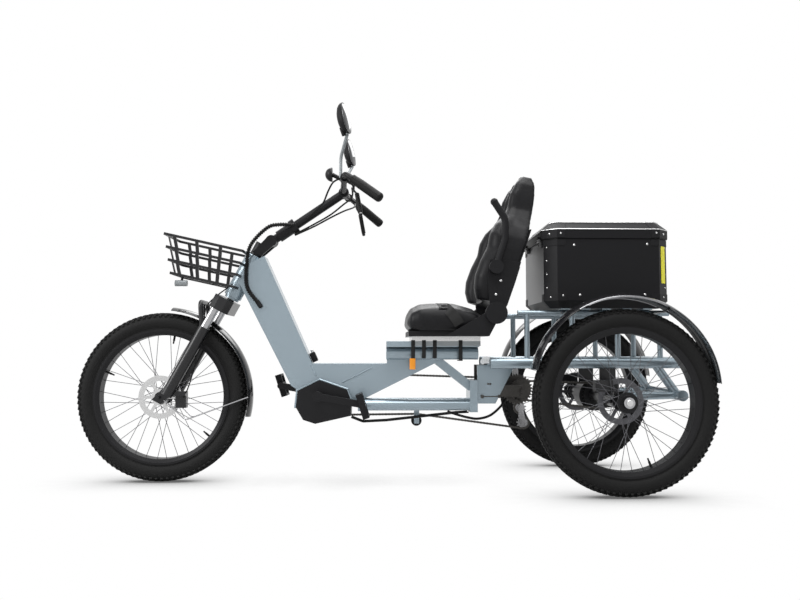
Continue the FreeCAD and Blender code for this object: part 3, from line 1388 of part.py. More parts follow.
box_top = box_foot + box_height
outer = ring_loft([plan(box_foot_chamfer, box_foot), plan(0, box_foot + box_foot_chamfer),
                   plan(0, box_top)])
inner = ring_loft([plan(box_foot_chamfer + box_wall, box_foot + box_wall),
                   plan(box_wall, box_foot + box_foot_chamfer + box_wall), plan(box_wall, box_top)])
hinge_x = box_front - lid_overhang - hinge_radius
hinge_z = box_top + face_clearance / 2
lid_foot = box_top + face_clearance
lid_top = lid_foot + lid_height
lid_outer = ring_loft([plan(-lid_overhang, lid_foot), plan(-lid_overhang, lid_top - lid_shoulder),
                       plan(lid_shoulder, lid_top)])
lid_inner = ring_loft([plan(box_wall, lid_foot), plan(box_wall, lid_top - lid_shoulder - box_wall),
                       plan(lid_shoulder, lid_top - box_wall)])
box_body = outer.cut(inner)
lid = lid_outer.cut(lid_inner)
half_leaf = hinge_length / 2
for side in (-1, 1):
    middle = side * hinge_spread
    pin = rod(vec(hinge_x, middle - half_leaf, hinge_z), vec(hinge_x, middle + half_leaf, hinge_z),
              hinge_pin_radius)
    knuckle = rod(vec(hinge_x, middle - half_leaf, hinge_z),
                  vec(hinge_x, middle - face_clearance, hinge_z), hinge_radius)
    leaf = slab(vec(hinge_x, middle - half_leaf, hinge_z - hinge_radius * 3),
                vec(box_front + box_wall / 2, middle - face_clearance, hinge_z - hinge_radius / 2))
    box_body = box_body.multiFuse([knuckle, leaf, pin])
    other = rod(vec(hinge_x, middle, hinge_z), vec(hinge_x, middle + half_leaf, hinge_z), hinge_radius)
    flap = slab(vec(hinge_x, middle, hinge_z + hinge_radius / 2),
                vec(box_front, middle + half_leaf, hinge_z + hinge_radius * 3))
    other = other.fuse(flap).cut(rod(vec(hinge_x, middle, hinge_z),
                                     vec(hinge_x, middle + half_leaf, hinge_z),
                                     hinge_pin_radius + running_clearance))
    lid = lid.fuse(other.cut(lid_inner))
latch_face = box_rear + lid_overhang
latch_spot = vec(latch_face + latch_thickness, 0, lid_foot + latch_thickness * 2)
half_latch = latch_width / 2
lug_wide = half_latch + latch_thickness
latch_pin = rod(vec(latch_spot.x, -lug_wide, latch_spot.z), vec(latch_spot.x, lug_wide, latch_spot.z),
                hinge_pin_radius)
for side in (-1, 1):
    low = min(side * (half_latch + face_clearance), side * lug_wide)
    high = max(side * (half_latch + face_clearance), side * lug_wide)
    lug = slab(vec(latch_face - box_wall / 2, low, latch_spot.z - latch_thickness),
               vec(latch_spot.x + latch_thickness / 2, high, latch_spot.z + latch_thickness))
    lid = lid.fuse(lug)
lid = lid.fuse(latch_pin)
latch_low = latch_spot.z - latch_height
latch = slab(vec(latch_spot.x - latch_thickness / 2, -half_latch, latch_low),
             vec(latch_spot.x + latch_thickness / 2, half_latch, latch_spot.z))
latch = latch.fuse(rod(vec(latch_spot.x, -half_latch, latch_spot.z),
                       vec(latch_spot.x, half_latch, latch_spot.z),
                       latch_thickness / 2))
latch = latch.cut(rod(vec(latch_spot.x, -lug_wide, latch_spot.z),
                      vec(latch_spot.x, lug_wide, latch_spot.z),
                      hinge_pin_radius + running_clearance))
nodes["cargo_box"] = [box_body]
nodes["box_lid"] = [lid]
nodes["box_latch"] = [latch]

# Seat rail and sliding carriage
rail_block_front = rear_x - rail_block_front_ahead
rail_block_rear = rear_x - rail_block_rear_ahead
tube_side = half_frame + rail_tube_radius
tube_z = axle_z + rail_tube_rise
side_tube = pipe(vec(rail_block_front, tube_side, tube_z), vec(rail_block_rear, tube_side, tube_z),
                 rail_tube_radius, stay_wall)
deck_top = deck_foot + rail_deck_height
deck = slab(vec(rail_block_front, -rail_deck_half_width, deck_foot),
            vec(rail_block_rear, rail_deck_half_width, deck_top))
deck = deck.cut(slab(vec(rail_block_front, -half_frame, deck_foot + frame_wall),
                     vec(rail_block_rear, half_frame, deck_top)))
nodes["seat_rail"] = both_sides(side_tube) + [deck]
seat_front = rear_x - seat_front_ahead
seat_rear = rear_x - seat_rear_ahead
slide_foot = deck_top + face_clearance
slide_top = slide_foot + slide_height
pan_top = slide_top + pan_height
lip_low = rail_deck_half_width + face_clearance
lip_high = lip_low + plate_thickness
slide = slab(vec(seat_front + pan_height, -lip_high, slide_foot),
             vec(seat_rear - pan_height, lip_high, slide_top))
for side in (-1, 1):
    low = min(side * lip_low, side * lip_high)
    slide = slide.fuse(slab(vec(seat_front + pan_height, low, deck_foot + frame_wall),
                            vec(seat_rear - pan_height, low + plate_thickness, slide_top)))
pan = slab(vec(seat_front + plate_thickness, -seat_half_width + pan_height, slide_top),
           vec(seat_rear, seat_half_width - pan_height, pan_top))
hinge_spot = vec(rear_x - hinge_ahead, 0, axle_z + hinge_rise)
ear_low = back_half_width + bracket_thickness * 2
ear_high = ear_low + plate_thickness
ears = []
covers = []
for side in (-1, 1):
    low = min(side * ear_low, side * ear_high)
    ear = prism([(seat_rear - cover_radius * 4, pan_top - pan_height), (seat_rear, pan_top - pan_height),
                 (hinge_spot.x + cover_radius / 2, hinge_spot.z),
                 (hinge_spot.x, hinge_spot.z + cover_radius / 2),
                 (hinge_spot.x - cover_radius, hinge_spot.z)], low, low + plate_thickness)
    start = side * (back_half_width + face_clearance)
    ear = ear.fuse(rod(vec(hinge_spot.x, start, hinge_spot.z),
                       vec(hinge_spot.x, side * ear_high, hinge_spot.z),
                       recliner_pin_radius))
    beam_low = min(side * (seat_half_width - pan_height), side * ear_low)
    beam_high = max(side * (seat_half_width - pan_height), side * ear_low)
    beam = slab(vec(seat_rear - cover_radius * 3, beam_low, pan_top - pan_height),
                vec(seat_rear - cover_radius, beam_high, pan_top - plate_thickness))
    ears.append(ear.fuse(beam))
    covers.append(rod(vec(hinge_spot.x, side * ear_high, hinge_spot.z),
                      vec(hinge_spot.x, side * (ear_high + cover_thickness / 2), hinge_spot.z),
                      cover_radius))
nodes["seat_carriage"] = [slide, pan] + ears + covers


# Seat cushion, ruled through crowned sections
def cushion_section(x, low, high, half, grow):
    top = high + grow
    wide = half + grow
    shoulder = high - crown_height + grow
    waist = low + (shoulder - low) / 2
    return loop([
        vec(x, -half + side_draw, low), vec(x, half - side_draw, low),
        (vec(x, wide, waist), vec(x, half - side_draw, shoulder)),
        (vec(x, 0, top), vec(x, -half + side_draw, shoulder)),
        (vec(x, -wide, waist), vec(x, -half + side_draw, low))])


cushion_foot = pan_top + face_clearance
seat_length = seat_rear - seat_front
sections = []
for along, foot_lift, height, width in cushion_shares:
    sections.append(cushion_section(seat_front + seat_length * along,
                                    cushion_foot + cushion_height * foot_lift,
                                    cushion_foot + cushion_height * height, seat_half_width * width, 0))
cushion = Part.makeLoft(sections, True, True)
nodes["seat_cushion"] = [cushion]
belt_start = seat_front + seat_length * cushion_shares[3][0] + belt_width / 2
belt_high = cushion_foot + cushion_height * cushion_shares[3][2]
belt_half = seat_half_width * cushion_shares[3][3]


def belt_loft(grow):
    return Part.makeLoft([cushion_section(x, cushion_foot, belt_high, belt_half, grow)
                          for x in (belt_start, belt_start + belt_width)], True, True)


belt = belt_loft(belt_thickness + face_clearance).cut(belt_loft(face_clearance))
belt = belt.common(slab(vec(seat_front, -seat_half_width * 2, belt_high - crown_height),
                        vec(seat_rear, seat_half_width * 2, belt_high * 2)))
nodes["lap_belt"] = [belt]

# Back rest, built upright on its hinge and then leaned back
def to_back(shape):
    copy = shape.copy()
    copy.rotate(vec(0, 0, 0), vec(0, 1, 0), back_tilt)
    copy.translate(hinge_spot)
    return copy


def back_section(up, ahead, behind, wide):
    z = back_height * up
    front = back_depth * ahead
    rear = back_depth * behind
    half = back_half_width * wide
    dip = front + (rear - front) * centre_share
    side = front + (rear - front) * edge_share
    inner = half * bolster_share
    return loop([
        vec(rear, -half, z), vec(rear, half, z), vec(side, half, z),
        (vec(front, half * bolster_peak_share, z), vec(dip, inner, z)),
        (vec(dip + side_draw, 0, z), vec(dip, -inner, z)),
        (vec(front, -half * bolster_peak_share, z), vec(side, -half, z))])


nodes["back_cushion"] = [to_back(Part.makeLoft([back_section(*row) for row in back_shares], True, True))]
panel_half = back_half_width * back_shares[panel_rows - 1][3]
panel_line = [(back_depth * row[2] + face_clearance, back_height * row[0])
              for row in back_shares[:panel_rows]]
panel_rear = [(x + plate_thickness, z) for x, z in panel_line]
panel = prism(panel_line + panel_rear[::-1], -panel_half, panel_half)
panel_low = panel_line[0][0]
panel_high = panel_line[3][0]
plate_low = back_half_width + face_clearance * 2
plate_high = plate_low + plate_thickness
arm_spot = vec(rear_x - arm_pivot_ahead, 0, axle_z + arm_pivot_rise)
arm_local = FreeCAD.Rotation(vec(0, 1, 0), -back_tilt).multVec(arm_spot.sub(hinge_spot))
back_plates = []
for side in (-1, 1):
    low = min(side * plate_low, side * plate_high)
    cheek = prism([(-cover_radius / 2, 0), (cover_radius / 2, -cover_radius / 3),
                   (panel_low + plate_thickness, cover_radius),
                   (panel_high + plate_thickness, arm_local.z + cover_radius),
                   (arm_local.x - arm_thickness, arm_local.z + arm_thickness),
                   (arm_local.x - arm_thickness, arm_local.z - arm_thickness)], low,
                   low + plate_thickness)
    cheek = cheek.cut(rod(vec(0, -plate_high, 0), vec(0, plate_high, 0),
                          recliner_pin_radius + running_clearance))
    tie_low = min(side * panel_half, side * plate_high)
    tie_high = max(side * panel_half, side * plate_high)
    tie = prism(panel_line[:4] + panel_rear[3::-1], tie_low, tie_high)
    pin = rod(vec(arm_local.x, side * plate_low, arm_local.z),
              vec(arm_local.x, side * (arm_offset + arm_thickness / 2), arm_local.z),
              arm_pin_radius)
    back_plates.extend([cheek, tie, pin])
nodes["backrest_frame"] = [to_back(panel.multiFuse(back_plates))]
boss_low = arm_offset - arm_thickness / 2
boss_high = arm_offset + arm_thickness / 2
arm_points = [vec(arm_spot.x + arm_height * back, arm_offset, arm_spot.z + arm_length * up)
              for back, up in arm_shares]
arm_rest = route(arm_points, arm_thickness / 2, arm_length / 4)
arm_rest = arm_rest.fuse(rod(vec(arm_spot.x, boss_low, arm_spot.z),
                             vec(arm_spot.x, boss_high, arm_spot.z), arm_thickness))
arm_rest = arm_rest.fuse(Part.makeSphere(arm_end_radius, arm_points[-1]))
arm_rest = arm_rest.cut(rod(vec(arm_spot.x, boss_low, arm_spot.z), vec(arm_spot.x, boss_high, arm_spot.z),
                            arm_pin_radius + running_clearance))
nodes["left_armrest"] = [mirrored(arm_rest)]
arm_rest = arm_rest.copy()
arm_rest.rotate(arm_spot, vec(0, 1, 0), right_arm_lean)
nodes["right_armrest"] = [arm_rest]

# Basket, built level with its rear rim at the start, then tipped
basket_spot = vec(rear_x - basket_rear_ahead, 0, axle_z + basket_rear_rise)
collar_radius = head_radius + plate_thickness
sleeve_low = head_foot + bearing_width
sleeve_high = head_top - bearing_width
sleeve = to_steer(rod(vec(0, 0, sleeve_low), vec(0, 0, sleeve_high), collar_radius)).cut(head_solid).cut(
    prism(down_points, -half_frame, half_frame))
keep_clear = to_steer(rod(vec(0, 0, sleeve_low - bearing_width), vec(0, 0, sleeve_high + bearing_width),
                          collar_radius))


def basket_level(share):
    return (basket_length + (basket_foot_length - basket_length) * share,
            basket_half_width + (basket_foot_half_width - basket_half_width) * share,
            -basket_height * share)


rings = []
for share in basket_level_shares:
    length, half, z = basket_level(share)
    low = z - basket_bar_height / 2
    high = z + basket_bar_height / 2
    for side in (-1, 1):
        edge = min(side * half, side * (half - basket_bar))
        rings.append(slab(vec(-length, edge, low), vec(0, edge + basket_bar, high)))
    for start in (-length, -basket_bar):
        rings.append(slab(vec(start, -half + basket_bar, low),
                          vec(start + basket_bar, half - basket_bar, high)))
rung = basket_bar / 2
half_slat = basket_slat_width / 2
rungs = []
all_rings = Part.makeCompound(rings)


def flat_bar(upper, lower):
    ends = []
    for spot, half_x, half_y in (upper, lower):
        ring = [vec(spot.x - half_x, spot.y - half_y, spot.z),
                vec(spot.x + half_x, spot.y - half_y, spot.z),
                vec(spot.x + half_x, spot.y + half_y, spot.z),
                vec(spot.x - half_x, spot.y + half_y, spot.z)]
        ends.append(Part.makePolygon(ring + [ring[0]]))
    return Part.makeLoft(ends, True, True)


for i in range(len(basket_level_shares) - 1):
    upper = basket_level(basket_level_shares[i])
    lower = basket_level(basket_level_shares[i + 1])
    lift = basket_bar_height / 2
    for share in rung_shares:
        for side in (-1, 1):
            high = vec(-upper[0] * share, side * (upper[1] - rung), upper[2] - lift)
            low = vec(-lower[0] * share, side * (lower[1] - rung), lower[2] + lift)
            rungs.append(flat_bar((high, half_slat, rung), (low, half_slat, rung)))
    for share in front_rung_shares:
        place = share * basket_foot_half_width
        high = vec(-upper[0] + rung, place, upper[2] - lift)
        low = vec(-lower[0] + rung, place, lower[2] + lift)
        rungs.append(flat_bar((high, rung, half_slat), (low, rung, half_slat)))
bars = rings + [piece.cut(all_rings) for piece in rungs]
foot_length, foot_half, foot_z = basket_level(1)
for share in slat_shares:
    place = foot_half * share
    bars.append(slab(vec(-foot_length + basket_bar, place - basket_bar_height / 2, foot_z - rung),
                     vec(-basket_bar, place + basket_bar_height / 2, foot_z + rung)))
placed = []
for bar in bars:
    bar.rotate(vec(0, 0, 0), vec(0, 1, 0), basket_tilt)
    bar.translate(basket_spot)
    placed.extend(bar.cut(keep_clear).Solids)
nodes["basket"] = placed + [sleeve]
lamp_turn = FreeCAD.Rotation(vec(0, 1, 0), basket_tilt)
lamp_spot = basket_spot.add(lamp_turn.multVec(vec(lamp_length - foot_length, 0,
                                                  foot_z - basket_bar_height - lamp_radius)))
lamp = rod(lamp_spot.sub(vec(lamp_length, 0, 0)), lamp_spot, lamp_radius)
lamp_stem = rod(lamp_spot.sub(vec(lamp_length / 2, 0, 0)),
                basket_spot.add(lamp_turn.multVec(vec(lamp_length / 2 - foot_length, 0, foot_z))),
                basket_bar)
for bar in placed:
    lamp_stem = lamp_stem.cut(bar)
nodes["headlight"] = [lamp.fuse(lamp_stem.Solids[0])]

# Cords under the frame and the wrapped harness
cable_front = motor_points[5][0] + face_clearance
cables = []
for side in cable_sides:
    points = [vec(cable_front + (stay_end - cable_front) * along, half_frame * side,
                  stay_z - stay_radius - cable_sag * down)
              for along, down in cable_shares]
    cables.append(route(points, cord_radius, stay_radius))
nodes["frame_cables"] = cables
ring_spot = pivot.add(stem_way * stem_thick_length)
harness_start = vec(ring_spot.x, -stem_ring_radius - harness_radius - face_clearance, ring_spot.z)
harness_side = -half_frame - harness_radius - face_clearance
harness_path = [harness_start] + [
    vec(join.x + harness_lift * along, harness_side, join.z + harness_lift * up) for along,
    up in harness_shares]
nodes["harness"] = [route(harness_path, harness_radius, harness_radius * 4)]

os.makedirs("parts", exist_ok=True)
for name, pieces in nodes.items():
    shape = pieces[0] if len(pieces) == 1 else Part.makeCompound(pieces)
    shape.exportStep("parts/" + name + ".step")
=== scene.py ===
import math
import bmesh
import bpy
from mathutils import Matrix, Vector
from mathutils.bvhtree import BVHTree


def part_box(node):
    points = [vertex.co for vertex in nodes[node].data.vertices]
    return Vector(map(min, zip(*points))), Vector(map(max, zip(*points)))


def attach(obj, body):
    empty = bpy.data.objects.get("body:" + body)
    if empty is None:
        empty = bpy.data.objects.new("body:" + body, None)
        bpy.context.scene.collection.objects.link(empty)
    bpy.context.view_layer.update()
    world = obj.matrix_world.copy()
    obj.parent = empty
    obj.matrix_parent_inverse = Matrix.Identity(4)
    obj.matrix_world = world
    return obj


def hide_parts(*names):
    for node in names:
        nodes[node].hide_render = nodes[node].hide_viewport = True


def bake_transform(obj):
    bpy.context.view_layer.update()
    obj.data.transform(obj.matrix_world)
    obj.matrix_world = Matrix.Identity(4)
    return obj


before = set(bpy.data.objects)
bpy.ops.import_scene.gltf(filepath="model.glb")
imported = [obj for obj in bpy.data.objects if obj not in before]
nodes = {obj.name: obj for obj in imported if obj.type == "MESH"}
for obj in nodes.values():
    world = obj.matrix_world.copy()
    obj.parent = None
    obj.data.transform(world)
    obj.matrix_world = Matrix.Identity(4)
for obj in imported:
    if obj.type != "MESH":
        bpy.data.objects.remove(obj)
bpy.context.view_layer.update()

scene = bpy.context.scene
print("frame loaded,", len(nodes), "nodes")


# A node with its settings; each socket takes a value or another node's output
def addNode(tree, kind, inputs=None, **settings):
    node = tree.nodes.new(kind)
    for key, value in settings.items():
        setattr(node, key, value)
    for key, value in (inputs or {}).items():
        if isinstance(value, bpy.types.NodeSocket):
            tree.links.new(value, node.inputs[key])
        else:
            node.inputs[key].default_value = value
    return node


def feed(tree, kind, inputs=None, **settings):
    return addNode(tree, kind, inputs, **settings).outputs[0]


def vectorOf(tree, parts):
    return feed(tree, "ShaderNodeCombineXYZ", parts)


# Materials on object coordinates
defaults = {"stretch": (1, 1, 1), "metal": 0, "coat": 0, "specular": 0.25, "bump": 0.05, "depth": 0.001,
            "grain": 0, "edge": 0, "detail": 5, "coatRough": 0.15, "edgeSamples": 6}


def tones(dark, light, scale, rough, **own):
    return {**defaults, "dark": dark, "light": light, "scale": scale, "rough": rough, **own}


def makeMaterial(name, look):
    mat = bpy.data.materials.new(name)
    mat.use_nodes = True
    tree = mat.node_tree
    tree.nodes.clear()
    coords = addNode(tree, "ShaderNodeTexCoord").outputs["Object"]
    place = feed(tree, "ShaderNodeMapping", {"Vector": coords, "Scale": look["stretch"]})
    height = feed(tree, "ShaderNodeTexNoise", {"Vector": place, "Scale": look["scale"],
                                               "Detail": look["detail"]})
    tint = addNode(tree, "ShaderNodeMix", {"Factor": height, "A": (*look["dark"], 1),
                                           "B": (*look["light"], 1)}, data_type="RGBA")
    rough = feed(tree, "ShaderNodeMapRange", {"Value": height, "To Min": look["rough"][0],
                                              "To Max": look["rough"][1]})
    if look["grain"]:
        height = feed(tree, "ShaderNodeTexVoronoi", {"Vector": place, "Scale": look["grain"]})
    relief = {"Height": height, "Strength": look["bump"], "Distance": look["depth"]}
    if look["edge"]:
        relief["Normal"] = feed(tree, "ShaderNodeBevel", {"Radius": look["edge"]}, samples=look["edgeSamples"])
    bump = feed(tree, "ShaderNodeBump", relief)
    shader = feed(tree, "ShaderNodeBsdfPrincipled", {
        "Base Color": tint.outputs["Result"], "Roughness": rough, "Normal": bump,
        "Metallic": look["metal"], "Coat Weight": look["coat"], "Coat Roughness": look["coatRough"],
        "Specular IOR Level": look["specular"]})
    addNode(tree, "ShaderNodeOutputMaterial", {0: shader})
    return mat


looks = {
    "framePaint": tones((0.252, 0.312, 0.352), (0.272, 0.332, 0.372), 5, (0.26, 0.28),
                        metal=0.55, coat=0.4, bump=0.0, edge=0.0014),
    "blackPaint": tones((0.005, 0.005, 0.006), (0.01, 0.01, 0.011), 500, (0.28, 0.4),
                        coat=0.3, bump=0.02, edge=0.002),
    "blackGloss": tones((0.004, 0.004, 0.005), (0.008, 0.008, 0.009), 300, (0.14, 0.22), coat=0.5, bump=0.01),
    "blackAlloy": tones((0.006, 0.006, 0.007), (0.013, 0.013, 0.014), 800, (0.32, 0.46),
                        metal=0.3, bump=0.03, edge=0.0015),
    "blackPlastic": tones((0.006, 0.006, 0.007), (0.012, 0.012, 0.013), 1400, (0.42, 0.58),
                          bump=0.08, edge=0.0015, specular=0.14),
    "boxSkin": tones((0.005, 0.005, 0.006), (0.009, 0.009, 0.01), 1800, (0.34, 0.48),
                     bump=0.06, edge=0.003, specular=0.14),
    "tyreRubber": tones((0.006, 0.006, 0.006), (0.013, 0.013, 0.013), 240, (0.55, 0.75),
                        bump=0.12, specular=0.14),
    "softRubber": tones((0.005, 0.005, 0.005), (0.011, 0.011, 0.011), 600, (0.45, 0.6),
                        bump=0.08, specular=0.14),
    "leather": tones((0.006, 0.006, 0.007), (0.013, 0.013, 0.014), 120, (0.3, 0.44),
                     grain=700, bump=0.1, depth=0.0006, specular=0.14),
    "webbing": tones((0.01, 0.01, 0.01), (0.024, 0.024, 0.024), 900, (0.7, 0.85),
                     stretch=(0.2, 1, 1), bump=0.3),
    "steel": tones((0.32, 0.32, 0.33), (0.48, 0.48, 0.49), 60, (0.22, 0.3), metal=1, bump=0.005),
    "spokeSteel": tones((0.07, 0.07, 0.075), (0.13, 0.13, 0.14), 300, (0.25, 0.4), metal=0.9, bump=0.02),
    "darkSteel": tones((0.045, 0.043, 0.04), (0.11, 0.105, 0.1), 260, (0.3, 0.5), metal=0.9, bump=0.05),
    "brightTrim": tones((0.5, 0.5, 0.5), (0.66, 0.66, 0.66), 300, (0.18, 0.3), metal=0.9, bump=0.01),
    "yellowTape": tones((0.8, 0.74, 0.0), (0.95, 0.9, 0.02), 500, (0.25, 0.35),
                        grain=900, bump=0.05, depth=0.0003),
    "orangeTag": tones((0.75, 0.25, 0.02), (0.9, 0.36, 0.04), 400, (0.3, 0.45)),
    # Box front face: a lighter grey metal than the black box skin, a painted highlight for the light falling on
    # that face
    "boxFrontPaintedSheen": tones((0.1, 0.1, 0.103), (0.14, 0.14, 0.143), 900, (0.3, 0.42), metal=0.7, bump=0.05),
    "plateSteel": tones((0.22, 0.24, 0.25), (0.3, 0.32, 0.33), 30, (0.35, 0.45),
                        metal=0.4, bump=0.005, edge=0.001),
    # Light grey edge beads on the black mudguards: a painted highlight for their reflecting lip
    "guardEdge": tones((0.2, 0.2, 0.21), (0.34, 0.34, 0.35), 200, (0.2, 0.3), metal=0.6, bump=0.01),
    # Mirror glass darkened to a dark grey: a painted reflection standing in for the dark surroundings the glass
    # shows
    "mirrorGlass": tones((0.045, 0.047, 0.05), (0.07, 0.072, 0.075), 60, (0.02, 0.04), metal=1, bump=0.0),
    "lampGlass": tones((0.55, 0.57, 0.58), (0.75, 0.77, 0.78), 200, (0.05, 0.12),
                       coat=0.6, grain=300, bump=0.4),
}
materials = {name: makeMaterial(name, look) for name, look in looks.items()}
wear = {
    "framePaint": ["main_frame", "rear_stays", "jackshaft_bracket", "rear_platform", "seat_rail",
                   "cargo_rack"],
    "blackGloss": ["rear_mudguards", "front_mudguard"],
    "blackPaint": ["basket", "axle_housing", "rear_calipers", "front_caliper", "fork_crown", "fork_lowers"],
    "blackAlloy": ["stem_base", "stem_arm", "handlebar", "bar_controls", "front_rim", "left_rim", "right_rim",
                   "front_hub", "left_hub", "right_hub", "differential", "left_brake_lever",
                   "right_brake_lever", "cranks", "motor_unit"],
    "blackPlastic": ["battery_pack", "headlight", "seat_carriage", "left_armrest", "right_armrest",
                     "left_mirror", "right_mirror", "idler_roller", "left_pedal", "right_pedal",
                     "backrest_frame"],
    "steel": ["stanchions", "bearings", "box_latch", "derailleur"],
    "plateSteel": ["mirror_stalks"],
    "darkSteel": ["drive_chain", "axle_chain", "jackshaft", "chainring"],
    "boxSkin": ["cargo_box", "box_lid"],
    "tyreRubber": ["front_tyre", "left_tyre", "right_tyre"],
    "softRubber": ["grips", "harness", "frame_cables"],
    "leather": ["seat_cushion", "back_cushion"],
    "webbing": ["lap_belt"],
}
for name, users in wear.items():
    for user in users:
        data = nodes[user].data
        data.materials.clear()
        data.materials.append(materials[name])
print("materials on the frame")


# Mesh helpers
def makePiece(name, verts, faces, look, body, stands=(), slotName=None, smooth=30):
    mesh = bpy.data.meshes.new(name)
    mesh.from_pydata([tuple(spot) for spot in verts], [], faces)
    return placePiece(name, mesh, look, body, stands, smooth)


def placePiece(name, mesh, look, body, stands=(), smooth=30):
    form = bmesh.new()
    form.from_mesh(mesh)
    bmesh.ops.recalc_face_normals(form, faces=form.faces)
    form.to_mesh(mesh)
    form.free()
    mesh.materials.clear()
    mesh.materials.append(materials[look])
    for face in mesh.polygons:
        face.use_smooth = smooth > 0
    if smooth:
        mesh.set_sharp_from_angle(angle=math.radians(smooth))
    piece = bpy.data.objects.new(name, mesh)
    scene.collection.objects.link(piece)
    if body:
        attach(piece, body)
    if stands:
        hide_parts(*stands)
    return piece


def joined(parts):
    verts, faces = [], []
    for partVerts, partFaces in parts:
        base = len(verts)
        verts.extend(partVerts)
        faces.extend([tuple(i + base for i in face) for face in partFaces])
    return verts, faces


def ringFaces(rows, size, closed=False):
    faces = []
    for row in range(rows if closed else rows - 1):
        after = (row + 1) % rows
        for i in range(size):
            step = (i + 1) % size
            faces.append((row * size + i, row * size + step, after * size + step, after * size + i))
    if not closed:
        faces.append(tuple(range(size)))
        faces.append(tuple((rows - 1) * size + i for i in range(size)))
    return faces


def lathe(profile, steps):
    verts = []
    for i in range(steps):
        turn = 2 * math.pi * i / steps
        verts += [Vector((radius * math.cos(turn), across, radius * math.sin(turn)))
                  for radius, across in profile]
    return verts, ringFaces(steps, len(profile), True)


def tube(points, radius, sides=10, closed=False):
    points = [Vector(spot) for spot in points]
    count = len(points)
    verts = []
    up = None
    for i in range(count):
        if closed:
            way = points[(i + 1) % count] - points[i - 1]
        else:
            way = points[min(i + 1, count - 1)] - points[max(i - 1, 0)]
        way.normalize()
        if up is None:
            up = way.orthogonal().normalized()
        up = (up - way * up.dot(way)).normalized()
        side = way.cross(up)
        size = radius[i] if isinstance(radius, (list, tuple)) else radius
        for k in range(sides):
            turn = 2 * math.pi * k / sides
            verts.append(points[i] + up * (size * math.cos(turn)) + side * (size * math.sin(turn)))
    return verts, ringFaces(count, sides, closed)


def smoothLine(points, steps=8):
    points = [Vector(spot) for spot in points]
    line = []
    for i in range(len(points) - 1):
        before, start = points[max(i - 1, 0)], points[i]
        end, after = points[i + 1], points[min(i + 2, len(points) - 1)]
        for k in range(steps):
            t = k / steps
            line.append(0.5 * (2 * start + (end - before) * t
                               + (2 * before - 5 * start + 4 * end - after) * t ** 2
                               + (3 * start - before - 3 * end + after) * t ** 3))
    line.append(points[-1])
    return line


def block(low, high, bevel=0.0, turn=None, pivot=None):
    form = bmesh.new()
    bmesh.ops.create_cube(form, size=1)
    low, high = Vector(low), Vector(high)
    for vert in form.verts:
        vert.co = Vector([low[k] + (vert.co[k] + 0.5) * (high[k] - low[k]) for k in range(3)])
    if bevel:
        bmesh.ops.bevel(form, geom=form.edges[:], offset=bevel, segments=2, profile=0.5, affect="EDGES")
    if turn:
        for vert in form.verts:
            vert.co = pivot + turn @ (vert.co - pivot)
    form.verts.index_update()
    verts = [vert.co.copy() for vert in form.verts]
    faces = [tuple(vert.index for vert in face.verts) for face in form.faces]
    form.free()
    return verts, faces


def knob(start, end, radius, sides=16, dome=0.0):
    start, end = Vector(start), Vector(end)
    points, sizes = [start, end], [radius, radius]
    if dome:
        rise = (end - start).normalized() * dome
        points += [end + rise * 0.6, end + rise]
        sizes += [radius * 0.8, radius * 0.35]
    return tube(points, sizes, sides)


def boss(spot, side, look, sides):
    way = Vector((0, side, 0))
    return knob(spot - way * look["in"], spot + way * look["out"], look["radius"], sides, look["dome"])


# Geometry Nodes, turned to plain meshes
socketKinds = {"Geometry": "Geometry", "Count": "Int", "Facing": "Vector"}


def newTree(name, labels):
    tree = bpy.data.node_groups.new(name, "GeometryNodeTree")
    for label in ("Geometry", *labels):
        tree.interface.new_socket(label, socket_type="NodeSocket" + socketKinds.get(label, "Float"))
    tree.interface.new_socket("Geometry", in_out="OUTPUT", socket_type="NodeSocketGeometry")
    return tree, tree.nodes.new("NodeGroupInput").outputs


def endTree(tree, source):
    addNode(tree, "NodeGroupOutput", {0: feed(tree, "GeometryNodeRealizeInstances", {0: source})})


def moved(tree, source, ways):
    return feed(tree, "GeometryNodeTransform", {"Geometry": source, **ways})


def aimed(tree, inputs, **settings):
    return feed(tree, "FunctionNodeAlignRotationToVector", inputs, **settings)


def evaluated(thing):
    bpy.context.view_layer.update()
    return bpy.data.meshes.new_from_object(thing.evaluated_get(bpy.context.evaluated_depsgraph_get()))


def grow(tree, values, line=()):
    mesh = bpy.data.meshes.new("seed")
    mesh.from_pydata([tuple(spot) for spot in line], [(i, i + 1) for i in range(len(line) - 1)], [])
    seed = bpy.data.objects.new("seed", mesh)
    scene.collection.objects.link(seed)
    modifier = seed.modifiers.new("grow", "NODES")
    modifier.node_group = tree
    for item in tree.interface.items_tree:
        if item.in_out == "INPUT" and item.name in values:
            modifier[item.identifier] = values[item.name]
    made = evaluated(seed)
    bpy.data.objects.remove(seed)
    return [vert.co.copy() for vert in made.vertices], [tuple(face.vertices) for face in made.polygons]


# Tyres with tread blocks, in rows mirrored about the middle
tyreLook = {"blockHeight": 0.0024, "bed": 0.2513, "bead": 0.028, "wallStart": 0.265, "half": 0.0375,
            "bodyRadius": 0.288, "bodyRise": 0.0335, "wallTurn": 118, "wallSteps": 24, "steps": 128}
treadLook = {"Count": 92, "Height": 0.006, "Phase": 0.041}
treadRows = [  # offset, length, width, lean, skew, the side that starts without the phase
    (0.0065, 0.015, 0.01, 0.0, 0.35, 1), (0.0195, 0.014, 0.011, 0.42, -0.3, -1),
    (0.03, 0.01, 0.012, 0.95, 0.2, 1)]
treadTree, given = newTree("treadRow", ("Count", "Radius", "Offset", "Length", "Width", "Height", "Lean",
                                        "Phase", "Skew"))
sideTurn = (math.pi / 2, 0, 0)
ring = feed(treadTree, "GeometryNodeMeshCircle", {"Vertices": given["Count"], "Radius": given["Radius"]})
size = vectorOf(treadTree, {"X": given["Width"], "Y": given["Length"], "Z": given["Height"]})
